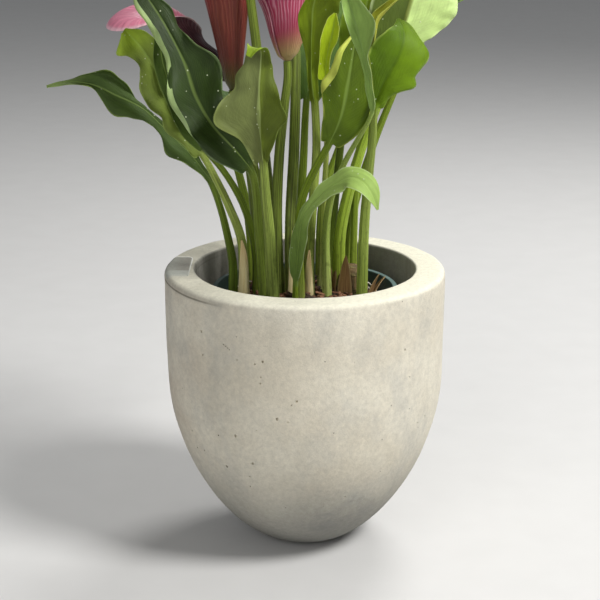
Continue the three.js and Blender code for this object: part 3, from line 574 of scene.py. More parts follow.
bpy.data.objects.remove(chip)
chips = bmesh.new()
for _ in range(CHIP_COUNT):
    reach = CHIP_REACH * math.sqrt(chip_draw.random())
    turn = chip_draw.uniform(0, 2 * math.pi)
    middle = Vector((reach * math.cos(turn), reach * math.sin(turn), 0))
    middle.z = soil_level(reach) + chip_draw.uniform(0.2, 1.6)
    middle.z += soil_heap(middle.x, middle.y)
    size = [chip_draw.uniform(*span) for span in CHIP_SIZES]
    turned_by = Euler([chip_draw.uniform(*span) for span in CHIP_TURNS])
    corners = []
    for point in chip_points:
        offset = Vector([a * b for a, b in zip(point, size)])
        offset.rotate(turned_by)
        corners.append(chips.verts.new((middle + offset) * MM))
    for face in chip_faces:
        chips.faces.new([corners[i] for i in face])
bark_mesh = bpy.data.meshes.new("bark_chips")
chips.to_mesh(bark_mesh)
chips.free()
bark = bpy.data.objects.new("bark_chips", bark_mesh)
bpy.context.scene.collection.objects.link(bark)
smooth(bark, 50)


def bark_look(here):
    place = object_place(here)
    fibres = place.stretched((1, 4, 1)).noise(500, 3)
    kinds = place.noise(70, 0).between(0.4, 0.6)
    colour = kinds.mix((0.05, 0.03, 0.018), (0.22, 0.1, 0.05))
    return {"Base Color": colour.shaded(0.6 + 0.8 * fibres), "Normal": fibres.bump(0.0004)}


dress(bark, finish("bark_fibre", bark_look, Roughness=0.9))


# Pale roots: thin white living roots that loop out of the soil and back into it. Each is a
# closed round tube along a bent line.
def root_look(here):
    grain = object_place(here).noise(300, 2)
    return {"Base Color": grain.mix((0.5, 0.44, 0.33), (0.74, 0.7, 0.6))}


ROOT_RADIUS = 0.45
root_finish = finish("pale_root", root_look, Roughness=0.6)
# Each root: its middle, length, compass heading and rise
ROOTS = [((44, 20), 14, 60, 4), ((38, 30), 12, 150, 3), ((30, 36), 15, 20, 3.5),
         ((48, 6), 10, 95, 3), ((-42, 18), 12, 70, 3), ((-36, 28), 10, 140, 3),
         ((20, 42), 12, 175, 2.5), ((-12, 46), 13, 10, 3)]
for number, ((x, y), length, heading, rise) in enumerate(ROOTS, 1):
    way = math.radians(heading)
    route = []
    for t in np.linspace(0, 1, 13):
        bend = 0.22 * length * math.sin(math.pi * t)
        px = x + (t - 0.5) * length * math.cos(way) - bend * math.sin(way)
        py = y + (t - 0.5) * length * math.sin(way) + bend * math.cos(way)
        lift = rise * math.sin(math.pi * t) - 0.6
        route.append((px, py, SOIL_TOP + 2 + soil_heap(px, py) + lift))
    dress(bead(f"pale_root_{number}", route, ROOT_RADIUS), root_finish)


# Leaf on the far left. A calla leaf grows as one piece: a fleshy stalk that runs on into the
# midrib of a thin wavy blade. All leaves and stems stand in the soil.
STAND_DEPTH = 12
SOIL_RISE = 4.4
ACROSS = 20
FOLD = (0.66, 0.9)
STALK_RINGS = 20
BLADE_RINGS = 64
BLADE_END = 0.992
VEIN_SPACING = 2.4
VEIN_LAG = 0.3


class Path:
    """A smooth line through points, read by the share of its length."""

    SAMPLES = 24

    def __init__(self, points):
        points = np.array(points, float)
        ends = np.vstack([2 * points[:1] - points[1:2], points, 2 * points[-1:] - points[-2:-1]])
        t = np.linspace(0, 1, self.SAMPLES, endpoint=False)[:, None]
        spans = []
        for a, b, c, d in zip(ends, ends[1:], ends[2:], ends[3:]):
            k0, k1, k2 = [np.linalg.norm(q - p) ** 0.5 for p, q in ((a, b), (b, c), (c, d))]
            slope_b = ((b - a) / k0 - (c - a) / (k0 + k1) + (c - b) / k1) * k1
            slope_c = ((c - b) / k1 - (d - b) / (k1 + k2) + (d - c) / k2) * k1
            spans.append(b + slope_b * t + (3 * (c - b) - 2 * slope_b - slope_c) * t ** 2
                         + (2 * (b - c) + slope_b + slope_c) * t ** 3)
        self.points = np.vstack([*spans, points[-1:]])
        steps = np.linalg.norm(np.diff(self.points, axis=0), axis=1)
        self.length = steps.sum()
        self.share = np.append(0, np.cumsum(steps)) / self.length
        self.knots = self.share[:: self.SAMPLES]
        self.heading = np.gradient(self.points, self.share, axis=0)

    def read(self, lines, share):
        return np.stack([np.interp(share, self.share, line) for line in lines.T], axis=-1)

    def at(self, share):
        return self.read(self.points, share)

    def forward(self, share):
        return unit(self.read(self.heading, share))


def unit(vectors):
    return vectors / np.maximum(np.linalg.norm(vectors, axis=-1, keepdims=True), 1e-12)


def stem_path(root, points):
    """The line of a stem, which starts upright in the soil at root."""
    standing = [(*root, SOIL_TOP - STAND_DEPTH), (*root, SOIL_TOP + SOIL_RISE),
                (*root, SOIL_TOP + STAND_DEPTH)]
    return Path([*standing, *points])


def cross_frame(path, share, facing):
    """Place, forward, upper side and right side of a stem at each share of its length."""
    forward = path.forward(share)
    lean = np.sum(facing * forward, axis=-1, keepdims=True)
    up = unit(facing - lean * forward)
    return path.at(share), forward, up, np.cross(forward, up)


def along(values, u):
    return np.interp(u, np.linspace(0, 1, len(values)), values)


def smooth_along(values, u):
    """A smooth curve through numbers that are spread evenly over 0 to 1."""
    values = np.array(values, float)
    place = np.clip(u, 0, 1) * (len(values) - 1)
    i = np.minimum(len(values) - 2, place.astype(int))
    t = place - i
    a, b, c, d = [values[np.clip(i + k, 0, len(values) - 1)] for k in (-1, 0, 1, 2)]
    return b + 0.5 * t * (c - a + t * (2 * a - 5 * b + 4 * c - d + t * (3 * (b - c) + d - a)))


def ease(values, low, high):
    t = np.clip((values - low) / (high - low), 0, 1)
    return t * t * (3 - 2 * t)


def sleeve(name, rings, growth, veins=None):
    """A closed skin over rings of points, made from a cylinder cut into as many rings. The
    second half of a ring runs back below the first, so each end is closed by strips between
    the two. Each point keeps where it grew: along, across and side."""
    count, corners = rings.shape[:2]
    bpy.ops.object.select_all(action="DESELECT")
    bpy.ops.mesh.primitive_cylinder_add(
        vertices=corners, radius=1, depth=count - 1, end_fill_type="NOTHING",
        location=(0, 0, 0))
    skin = bpy.context.active_object
    skin.name = name
    bpy.ops.object.mode_set(mode="EDIT")
    bpy.ops.mesh.select_all(action="DESELECT")
    edges = bmesh.from_edit_mesh(skin.data)
    for edge in edges.edges:
        edge.select = abs(edge.verts[0].co.z - edge.verts[1].co.z) > 0.5
    bmesh.update_edit_mesh(skin.data)
    bpy.ops.mesh.subdivide(number_cuts=count - 2)
    bpy.ops.object.mode_set(mode="OBJECT")
    plain = np.empty(len(skin.data.vertices) * 3)
    skin.data.vertices.foreach_get("co", plain)
    plain = plain.reshape(-1, 3)
    angles = np.arctan2(plain[:, 1], plain[:, 0])
    corner = np.rint((angles - angles[0]) / (2 * math.pi / corners)).astype(int) % corners
    ring = np.rint(plain[:, 2] + (count - 1) / 2).astype(int)
    skin.data.vertices.foreach_set("co", (rings[ring, corner] * MM).ravel())
    grown = skin.data.attributes.new("growth", "FLOAT_VECTOR", "POINT")
    grown.data.foreach_set("vector", growth[ring, corner].astype(np.float32).ravel())
    lines = skin.data.attributes.new("veins", "FLOAT", "POINT")
    phase = np.zeros((count, corners)) if veins is None else veins
    lines.data.foreach_set("value", phase[ring, corner].astype(np.float32))
    skin.data.update()
    number = np.empty((count, corners), int)
    number[ring, corner] = np.arange(len(ring))
    shell = bmesh.new()
    shell.from_mesh(skin.data)
    shell.verts.ensure_lookup_table()
    for end in number[[0, -1]]:
        for k in range(corners // 2 - 1):
            strip = end[k], end[k + 1], end[-2 - k], end[-1 - k]
            shell.faces.new([shell.verts[i] for i in strip])
    bmesh.ops.recalc_face_normals(shell, faces=shell.faces)
    if shell.calc_volume(signed=True) < 0:
        bmesh.ops.reverse_faces(shell, faces=shell.faces)
    shell.to_mesh(skin.data)
    shell.free()
    smooth(skin, 70)
    return skin


def round_rings(path, shares, facing, radius, corners):
    """Round cross-sections of a stem with a shallow groove and low ridges."""
    place, _, up, right = cross_frame(path, shares, facing)
    angle = math.pi * (1 - (2 * np.arange(corners) + 1) / corners)
    groove = 1 - 0.1 * np.exp(-(((angle - math.pi / 2) / 0.45) ** 2)) + 0.02 * np.cos(7 * angle)
    reach = radius[:, None] * groove[None, :]
    return (place[:, None] + right[:, None] * (reach * np.cos(angle))[..., None]
            + up[:, None] * (reach * np.sin(angle))[..., None])


def sheet_normals(sheet):
    across = np.gradient(sheet, axis=1)
    onward = np.gradient(sheet, axis=0)
    return unit(np.cross(across, onward))


def two_sided(u, v):
    """Where the points of a sheet with a near and a far side grew."""
    return np.stack(np.broadcast_arrays(
        u[:, None], np.concatenate([v, v[::-1]])[None, :],
        np.repeat((0.0, 1.0), len(v))[None, :]), axis=-1)


def calla_leaf(name, dressing, root, stalk, rib, girth, face, left, rise, curl, lobe, wave,
               right=None, ruffle=(0.5, 7), roll=((0, 0), (0, 0)), pulls=()):
    """Grows a leaf, lets it stand for its plain node and returns the path of its rib. face
    lists the way its upper side looks; left and right are the widths of its halves out to the
    fold, the same where only left is given, rise their slopes at the rib, curl what they add by
    the margin and roll how far the margin folds over, all from base to tip. lobe is how far
    each half reaches back past the base. wave is the height, number and start of the margin's
    waves, ruffle the height and number of its fine ripple. Each pull moves the blade round one
    place: along, across, the spread both ways, and how far in x, y and z."""
    path = stem_path(root, [*stalk, *rib])
    start = path.knots[len(stalk) + 2]
    reach = (np.arange(1, ACROSS + 1) / ACROSS) ** 0.9
    step = np.diff(reach, prepend=0)
    v = np.concatenate([-reach[::-1], [0], reach])
    corners = 2 * len(v)
    u = BLADE_END * (np.arange(0, BLADE_RINGS + 1) / BLADE_RINGS) ** 1.15
    facing = np.stack([along([f[axis] for f in face], u) for axis in range(3)], axis=-1)
    place, forward, up, to_right = cross_frame(path, start + (1 - start) * u, facing)
    ends = (np.clip(4 * u, 0, 1) * np.clip(4 - 4 * u, 0, 1))[:, None]
    lobing = (u / 0.07 * np.exp(1 - u / 0.07))[:, None]
    halves = []
    for half, sign, widths in ((0, -1, left), (1, 1, right or left)):
        middle = reach - step / 2
        folded = ease(middle, *FOLD)
        angle = np.radians(along(rise[half], u)[:, None] + along(curl[half], u)[:, None] * middle
                           + smooth_along(roll[half], u)[:, None] * folded)
        out = np.cumsum(step * np.cos(angle), axis=1)
        width = np.maximum(0.5, smooth_along(widths, u))[:, None] / out.max(axis=1, keepdims=True)
        out = width * out
        lift = width * np.cumsum(step * np.sin(angle), axis=1)
        turn = 2 * math.pi * (wave[1] * u[:, None] + wave[2] + 0.35 * half)
        fine = 2 * math.pi * (ruffle[1] * u[:, None] + 0.3 + 0.5 * half)
        lift = lift + ends * (wave[0] * reach ** 3 * np.sin(turn)
                              + ruffle[0] * reach ** 5 * np.sin(fine))
        back = lobe[half] * lobing * np.clip((reach - 0.25) / 0.75, 0, 1) ** 1.3
        grid = (place[:, None] + sign * to_right[:, None] * out[..., None]
                + up[:, None] * lift[..., None] - forward[:, None] * back[..., None])
        halves.append((grid, width * reach))
    (left_grid, left_from), (right_grid, right_from) = halves
    sheet = np.concatenate([left_grid[:, ::-1], place[:, None], right_grid], axis=1)
    from_rib = np.concatenate([left_from[:, ::-1], 0 * u[:, None], right_from], axis=1)
    for at_u, at_v, spread_u, spread_v, move in pulls:
        off_u, off_v = (u[:, None] - at_u) / spread_u, (v[None, :] - at_v) / spread_v
        near = np.exp(-off_u ** 2 - off_v ** 2)
        sheet = sheet + near[..., None] * np.array(move, float)
    normals = sheet_normals(sheet)
    ridge = 1.4 * girth[1] * (1 - u)[:, None] ** 1.3
    thick = 0.62 - 0.3 * v[None, :] ** 8 + ridge * np.exp(-(from_rib / (0.6 * girth[1])) ** 2)
    dip = 0.45 * np.exp(-(from_rib / 0.9) ** 2) * ends
    near_side = sheet - normals * dip[..., None]
    far_side = sheet - normals * thick[..., None]
    blade = np.concatenate([near_side, far_side[:, ::-1]], axis=1)
    neck = round_rings(path, start + (1 - start) * u, facing, girth[1] + 0 * u, corners)
    blade = neck + ease(u, 0, 0.075)[:, None, None] * (blade - neck)
    shares = start * np.arange(STALK_RINGS) / STALK_RINGS
    radius = girth[0] + (girth[1] - girth[0]) * shares / start
    stalk_rings = round_rings(path, shares, np.array(face[0], float), radius, corners)
    rings = np.concatenate([stalk_rings, blade])
    grown = np.concatenate([shares / start - 1, u])
    growth = two_sided(grown, v)
    length = path.length * (1 - start)
    phase = (grown[:, None] - VEIN_LAG * np.abs(growth[..., 1]) ** 1.2) * length / VEIN_SPACING
    leaf = sleeve(name + "_leaf", rings, growth, phase)
    stand_for(leaf, "leaf_" + name, dressing)
    return path


def growth_of(here):
    """Where a point of a grown skin grew: along, across and side."""
    return here.node("ShaderNodeAttribute", {"attribute_name": "growth"}, output="Vector")


def leaf_finish(name, upper, under, rib=(0.3, 0.42, 0.1), margin=(0.3, 0.4, 0.1),
                stalk=(0.19, 0.27, 0.02), foot=(0.27, 0.34, 0.05), tip=None, tip_from=0.7,
                right=None, edge=0.5, gloss=0.42, flecks=0.6):
    """Waxy leaf: its upper and under side, rib, margin and stalk, with faint fine veins, soft
    bands that follow them, and scattered pale flecks."""

    def look(here):
        place = object_place(here)
        growth = growth_of(here)
        phase = here.node("ShaderNodeAttribute", {"attribute_name": "veins"}, output="Fac")
        grown, across, side = growth.parts()
        reach = abs(across)
        mottle = place.noise(80, 3, 0.6)
        bands = (phase * 0.16).joined(across * 1.2, side * 3).noise(1.6, 2, 0.5)
        veins = phase.waves() ** 3 * (1 - reach.between(0.7, 0.95)) * reach.between(0.02, 0.2)
        colour = side.between(0.4, 0.6).mix(upper, under)
        if right:
            colour = across.between(-0.04, 0.06).mix(colour, right)
        if tip:
            colour = grown.between(tip_from - 0.12, tip_from + 0.12).mix(colour, tip)
        colour = colour.shaded(0.4 + 0.65 * mottle + 0.55 * bands)
        colour = (veins * 0.035).mix(colour, rib)
        colour = ((1 - reach.between(0.02, 0.08)) * (0.3 + 0.4 * side)).mix(colour, rib)
        pale = reach.between(0.9, 0.985) * edge * bands.between(0.3, 0.6)
        colour = pale.mix(colour, margin)
        kind = place.cells(300, "Color").parts()[1]
        fleck = (1 - place.cells(300).between(0.1, 0.17)) * kind.between(0.8, 0.81) * flecks
        colour = fleck.mix(colour, (0.62, 0.68, 0.45))
        streak = growth.stretched((1.4, 9, 3)).noise(1.6, 4, 0.65).between(0.32, 0.68)
        fleshy = (grown + 1).between(0.0, 0.45).mix(foot, stalk)
        fleshy = fleshy.shaded(0.36 + 1.2 * streak)
        speckles = place.stretched((1, 1, 0.5)).noise(520, 2).between(0.56, 0.68)
        low = 1 - (grown + 1).between(0.2, 0.7)
        fleshy = (speckles * (0.1 + 0.3 * low)).mix(fleshy, (0.06, 0.08, 0.015))
        colour = grown.between(-0.05, 0.06).mix(fleshy, colour)
        relief = veins * 0.04 + bands * 0.6 + mottle * 0.3 + fleck * 0.3 + streak * 0.25
        return {"Base Color": colour, "Roughness": gloss + 0.2 * mottle - 0.1 * fleck,
                "Normal": relief.bump(0.0005)}

    return finish(name, look, Specular_IOR_Level=0.2)


# The far left leaf's paler tip is partly its twisted-up underside and partly a painted sheen.
calla_leaf(
    "far_left", leaf_finish(
        "far_left_green", (0.045, 0.08, 0.012), (0.2, 0.3, 0.05), margin=(0.33, 0.45, 0.1),
        tip=(0.26, 0.36, 0.11), tip_from=0.88, stalk=(0.13, 0.19, 0.02), foot=(0.16, 0.22, 0.03)),
    root=(-46, -3),
    stalk=[(-46, -3, 185), (-49, -5, 203), (-53, -7, 221), (-59, -8, 238)],
    rib=[(-70, -9, 255), (-85, -10, 271), (-100, -12, 286), (-116, -13, 294),
         (-132, -13, 301), (-147, -12, 302), (-159.5, -11, 298.5)],
    girth=(3.4, 1.9), face=[(0.35, -0.75, 0.55), (0, -0.7, 0.7), (-0.2, -0.6, 0.8)],
    left=[2, 3, 6.1, 10.6, 5.3, 6.6, 9.2, 9.8, 3.7, 2.8, 2.7, 0.8],
    right=[2, 2.5, 3, 2.5, 2.5, 2.8, 4, 8.5, 8.8, 4.1, 1.2, 0.8],
    rise=[(15, 10, 20), (20, 10, 30)], curl=[(10, -40, -50), (-20, -30, 10)],
    roll=[(-40, -60, 0), (60, 40, -60, 120, 60, 0)],
    lobe=(8, 3), wave=(2.6, 2.5, 0.2), ruffle=(0.9, 9))


# Leaves on the left: an olive one with a bright hooded tip, a dark narrow one and the large
# dark one with pale wavy margins in front of them.
hooded_path = calla_leaf(
    "hooded", leaf_finish(
        "hooded_olive", (0.145, 0.195, 0.03), (0.2, 0.3, 0.04), margin=(0.35, 0.45, 0.12),
        tip=(0.3, 0.42, 0.03), tip_from=0.86, stalk=(0.3, 0.37, 0.08), foot=(0.3, 0.35, 0.09)),
    root=(-39, -10),
    stalk=[(-40, -10, 201), (-47, -14, 223), (-55, -18, 242), (-63, -21, 258)],
    rib=[(-75, -22, 273), (-82, -23, 286), (-88, -24, 300), (-92, -25, 314),
         (-100, -27, 327), (-108, -33, 337)],
    girth=(3.6, 2.1), face=[(0.3, -0.9, 0.3), (0.3, -0.9, 0.3), (0.1, -0.8, 0.6)],
    left=[3, 6.4, 5.3, 8.6, 7.8, 12.1, 12, 9.7, 8, 8.6, 12.6, 2],
    right=[2, 3, 4, 4.5, 5, 6, 6.5, 7, 7.7, 8, 5.5, 0.8],
    rise=[(30, 15, 10), (40, 40, 30)], curl=[(-20, -10, -50), (20, 20, 20)],
    roll=[(0, -50, 0, -60, -60), (0, 40, 0)],
    lobe=(4, 4), wave=(3, 3, 0), ruffle=(1, 8))

calla_leaf(
    "dark_narrow", leaf_finish(
        "narrow_dark_green", (0.055, 0.095, 0.012), (0.12, 0.2, 0.05), edge=0.3,
        stalk=(0.11, 0.16, 0.015), foot=(0.13, 0.17, 0.02)),
    root=(-31, -3),
    stalk=[(-31, -4, 190), (-38, -15, 224), (-50, -25, 249), (-61, -31, 264)],
    rib=[(-72, -35, 282), (-80, -36, 301), (-85, -36, 318), (-87, -34, 332)],
    girth=(3.0, 1.8), face=[(0.4, -0.9, 0.2), (0.3, -0.95, 0.2), (0.2, -0.95, 0.2)],
    left=[2, 6, 7, 6, 6, 5.5, 3], right=[2, 6, 6, 6, 5, 5, 3],
    rise=[(20, 20, 20), (25, 25, 25)], curl=[(-10, -10, -10), (10, 10, 10)],
    lobe=(4, 4), wave=(1.5, 2, 0.4))

calla_leaf(
    "left_large", leaf_finish(
        "large_dark_green", (0.022, 0.042, 0.006), (0.3, 0.4, 0.15), margin=(0.3, 0.42, 0.18),
        flecks=0.8, gloss=0.34, stalk=(0.16, 0.22, 0.03), foot=(0.14, 0.18, 0.03)),
    root=(-26, -15),
    stalk=[(-29, -19, 212), (-30, -29, 235), (-33, -41, 253)],
    rib=[(-42, -47, 267), (-55, -49, 282), (-65, -49, 300), (-71, -47, 318),
         (-81, -43, 338), (-92, -39, 355), (-100, -38, 366)],
    girth=(3.8, 2.4), face=[(0.2, -0.95, 0.25), (0.1, -0.98, 0.2), (0.3, -0.9, 0.3)],
    left=[3, 8, 13.7, 13.9, 14, 14.7, 12.2, 8.9, 9.9, 9, 9.3, 3],
    right=[3, 6, 7, 10.5, 14.5, 18.6, 19.4, 10, 7, 8.1, 4, 0.5],
    rise=[(10, 10, 10), (15, 15, 20)], curl=[(30, 10, -10, 10, 0), (-10, -20, -20)],
    roll=[(0, -60, 90, 140, 150, 170, 100), (0, -30, -30, 60, 0)],
    lobe=(5, 5), wave=(5, 3, 0.1), ruffle=(1.5, 8),
    pulls=[(0.26, -0.75, 0.1, 0.4, (0, -5, 1)), (0.48, -0.6, 0.09, 0.3, (-1, -5, 0)),
           (0.4, 0.6, 0.1, 0.3, (0, 4, 0))])


# The pale leaf in front shows its underside with a raised rib, and its tip is rolled. It
# grows on a thick stalk of its own.
calla_leaf(
    "centre_pale", leaf_finish(
        "pale_underside", (0.2, 0.32, 0.02), (0.1, 0.135, 0.013), rib=(0.3, 0.36, 0.12),
        margin=(0.3, 0.36, 0.1), edge=0.3, tip=(0.3, 0.45, 0.02), tip_from=0.9, gloss=0.5,
        right=(0.13, 0.155, 0.045), stalk=(0.24, 0.31, 0.06), foot=(0.15, 0.19, 0.04)),
    root=(-20, -27),
    stalk=[(-22, -34, 212), (-24, -44, 240), (-25, -53, 260)],
    rib=[(-26, -57, 274), (-27, -59, 290), (-27, -59, 306), (-26, -57, 320),
         (-26, -60, 329), (-29, -65, 330), (-33, -67, 325)],
    girth=(4.6, 2.6), face=[(0, 0.98, 0.2), (0, 0.98, 0.2), (0, 0.98, 0.2), (0, 0.9, 0.4),
                            (-0.1, -0.5, 0.9)],
    left=[3, 3.5, 7, 11, 16.4, 13.5, 11.2, 8, 6.5, 5, 4, 1.5],
    right=[3, 5.7, 9.6, 15.4, 25.9, 24.1, 14.9, 14.1, 10.1, 8, 6, 2],
    rise=[(-10, -10, 0), (-10, -5, 10)], curl=[(-10, -30, 10), (-15, -10, 20)],
    roll=[(0, -40, 40, 0), (-40, -70, 40, 0)],
    lobe=(4, 6), wave=(3, 3, 0.3), ruffle=(0.9, 7))


# Leaves in the middle: a tall olive one, a young yellow one and the bright olive one with a
# pale margin in front of them.
tall_olive_path = calla_leaf(
    "tall_olive", leaf_finish(
        "tall_olive_green", (0.12, 0.2, 0.015), (0.127, 0.18, 0.005), rib=(0.2, 0.28, 0.05),
        edge=0.2, flecks=0.2, stalk=(0.27, 0.34, 0.06), foot=(0.4, 0.42, 0.16)),
    root=(3, -7),
    stalk=[(3, -8, 194), (5, -10, 228), (7, -12, 260), (6, -12, 288)],
    rib=[(4, -12, 306), (4, -12, 322), (4, -13, 337), (5, -14, 350), (10, -17, 362),
         (17, -21, 369)],
    girth=(3.4, 2.4), face=[(0.1, 0.98, 0), (0.1, 0.98, 0), (0, 0.9, 0.3)],
    left=[3, 3.2, 3.8, 5.2, 7.2, 9.9, 13.1, 15.6, 16.1, 14.5, 12.3, 1],
    right=[3, 3, 2.8, 3, 3.9, 5.7, 7.6, 8.3, 5.8, 3.7, 4.6, 0.5],
    rise=[(-10, -10, -10), (-10, -10, -10)], curl=[(-30, -30, -20), (-30, -30, -20)],
    lobe=(2, 2), wave=(1.5, 2, 0))

calla_leaf(
    "young_yellow", leaf_finish(
        "young_yellow_green", (0.38, 0.51, 0.012), (0.36, 0.46, 0.02), edge=0.8,
        margin=(0.55, 0.6, 0.15),
        stalk=(0.34, 0.41, 0.08), foot=(0.42, 0.44, 0.16)),
    root=(10, 1),
    stalk=[(11, -5, 214), (13, -14, 255), (13, -22, 285), (12, -25, 304)],
    rib=[(13, -27, 320), (16, -28, 334), (18, -27, 346)],
    girth=(2.4, 1.3), face=[(-0.3, -0.9, 0.1), (-0.5, -0.8, 0.1), (-0.5, -0.8, 0.2)],
    left=[1.5, 3.5, 3.4, 3.5, 3.6, 4, 4.3, 4.4, 4.4, 3.9, 3.1, 0.5],
    right=[1.5, 3.5, 2.6, 2.4, 2.6, 3.2, 4.2, 5.2, 5.2, 4.5, 2.5, 0.5],
    rise=[(30, 30, 30), (20, 20, 20)], curl=[(20, 20, 20), (-20, -30, -20)],
    roll=[(0, 0), (0, 60, 60, 0)],
    lobe=(1, 1), wave=(0.5, 2, 0), ruffle=(0.15, 5))

calla_leaf(
    "front_olive", leaf_finish(
        "front_olive_green", (0.07, 0.115, 0.003), (0.46, 0.52, 0.08), margin=(0.42, 0.48, 0.08),
        edge=0.6, stalk=(0.15, 0.22, 0.012), foot=(0.3, 0.34, 0.08)),
    root=(-3, -19),
    stalk=[(-4, -24, 205), (-2, -34, 233), (5, -41, 252), (14, -46, 270)],
    rib=[(20, -49, 284), (24, -48, 300), (27, -45, 317), (30, -41, 335)],
    girth=(3.2, 2.2), face=[(0.1, -0.95, 0.3), (0.1, -0.98, 0.1), (0, -0.98, 0)],
    left=[3, 6, 9, 10.8, 13.1, 15.5, 16.4, 12.7, 10.9, 9.6, 5.9, 2],
    right=[3, 8, 12, 15, 16, 16.9, 15.6, 14.1, 12.1, 10, 6.9, 1],
    rise=[(20, 20, 25), (-12, 0, 10)], curl=[(10, 20, 30), (-20, -20, 0)],
    roll=[(0, 0, 20, 150, 175, 160), (0, 60, 120, 30, 0, 0)],
    lobe=(4, 5), wave=(1.2, 2, 0.5), ruffle=(0.4, 8))


# Leaves on the right: a matt grey-green one that hangs from the top, a bright glossy one, and
# the tall pale one behind them.
calla_leaf(
    "grey_green", leaf_finish(
        "grey_green", (0.26, 0.4, 0.09), (0.34, 0.46, 0.15), margin=(0.42, 0.54, 0.24),
        rib=(0.16, 0.24, 0.09), edge=0.7, gloss=0.5, flecks=0.1, stalk=(0.3, 0.4, 0.08),
        foot=(0.4, 0.45, 0.14)),
    root=(14, -10),
    stalk=[(13, -14, 205), (16, -23, 232), (24, -40, 258), (33, -54, 278), (39, -60, 291)],
    rib=[(37, -62, 308), (33, -61, 328), (28, -58, 346), (22, -50, 363), (17, -42, 376)],
    girth=(3.4, 1.2), face=[(-0.6, -0.8, 0.1), (-0.4, -0.9, 0.2), (0, -0.9, 0.4)],
    left=[2, 1.9, 1.9, 1.9, 2.7, 3.8, 4.3, 4.4, 3.8, 2.5, 4, 0.5],
    right=[2, 3.8, 3, 4, 3.4, 9.9, 14.7, 10.1, 6.5, 5.5, 4, 0.5],
    rise=[(20, 20, 10), (30, 25, 20)], curl=[(0, 0, 0), (20, 20, 20)],
    lobe=(1, 1), wave=(1, 2, 0), ruffle=(0.2, 6))

# The bright leaf's light greens, lightest on its right half, are partly painted light: the glow of
# light shining through the blade.
calla_leaf(
    "right_bright", leaf_finish(
        "bright_green", (0.08, 0.15, 0.001), (0.25, 0.36, 0.03), rib=(0.04, 0.08, 0.002),
        margin=(0.4, 0.5, 0.1), right=(0.12, 0.21, 0.002), flecks=0.8,
        stalk=(0.26, 0.34, 0.06), foot=(0.24, 0.3, 0.05)),
    root=(36, -12),
    stalk=[(37, -14, 212), (39, -18, 242), (41, -22, 268), (42, -26, 288)],
    rib=[(46, -28, 301), (51, -29, 311), (56, -29, 320), (59, -26, 329), (59, -20, 336),
         (56, -13, 341)],
    girth=(3.8, 2.4), face=[(-0.1, -0.9, 0.4), (0.2, -0.95, 0.2), (0.3, -0.95, -0.1)],
    left=[3, 3.8, 9.2, 13.3, 16, 17.8, 18.7, 17.5, 13.4, 8.9, 5, 0.5],
    right=[3, 5.6, 7, 12.4, 18.8, 16.3, 17.5, 19.3, 18.9, 10.9, 4, 0.5],
    rise=[(20, 15, 10), (10, 5, 0)], curl=[(10, 0, 10), (-20, -30, -20)],
    roll=[(0, 0), (0, -50, -50, -20, 0)],
    lobe=(1, 3), wave=(1.6, 3, 0.1), ruffle=(0.3, 7))

calla_leaf(
    "top_right", leaf_finish(
        "pale_back_green", (0.12, 0.22, 0.03), (0.58, 0.76, 0.27), rib=(0.15, 0.17, 0.02),
        right=(0.075, 0.11, 0.015), margin=(0.6, 0.72, 0.36), stalk=(0.3, 0.42, 0.04),
        foot=(0.38, 0.48, 0.06)),
    root=(22, 3),
    stalk=[(22, 3, 200), (28, 4, 231), (37, 6, 262), (48, 8, 291), (55, 9, 314)],
    rib=[(61, 10, 334), (66, 13, 351), (71, 17, 367), (76, 23, 381)],
    girth=(4.8, 2.2), face=[(-0.2, 0.9, 0.3), (-0.1, 0.95, 0.2), (0, 0.9, 0.4)],
    left=[4.4, 7.5, 12.1, 18.6, 23.9, 27.1, 28.2, 27, 26.8, 20, 9.4, 0.5],
    right=[5, 18, 22, 25.5, 26.8, 25.6, 22.2, 17.4, 12, 7.5, 4, 0.5],
    rise=[(-10, -10, -10), (-10, -10, -10)], curl=[(-10, -10, -20), (-10, -10, -20)],
    roll=[(0, -30, 30, -30), (0, 0)],
    lobe=(2, 2), wave=(2, 3, 0.2), ruffle=(0.7, 9))


# Small leaves: a low one that arches over the rim, a rolled yellow bud, a bright one behind
# it, and a dark one far right of which the picture shows only the edge.
calla_leaf(
    "low_arching", leaf_finish(
        "arching_green", (0.16, 0.25, 0.05), (0.3, 0.42, 0.1), margin=(0.6, 0.7, 0.4), edge=0.7,
        tip=(0.32, 0.46, 0.11), tip_from=0.42),
    root=(-6, -29), stalk=[(-6, -31, 178)],
    rib=[(-5, -33, 193), (-4, -37, 208), (-1, -43, 226), (7, -49, 238), (17, -56, 248),
         (27, -63, 254), (34, -68, 252), (39, -71, 246), (43, -72, 235)],
    girth=(2.6, 1.7), face=[(-0.6, -0.8, 0), (-0.6, -0.7, 0.3), (-0.2, -0.5, 0.8),
                            (0.5, -0.6, 0.6)],
    left=[2, 4, 5, 5, 4.5, 4, 5, 6.5, 8, 8, 6, 0.5],
    right=[2, 4, 5.5, 6.5, 7, 6.5, 6, 7, 8.5, 9, 6, 0.5],
    rise=[(40, 30, 20, 20), (30, 20, 10, 20)], curl=[(-20, -40, -30, -20), (-20, -40, -40, -20)],
    lobe=(1, 1), wave=(1, 2, 0))

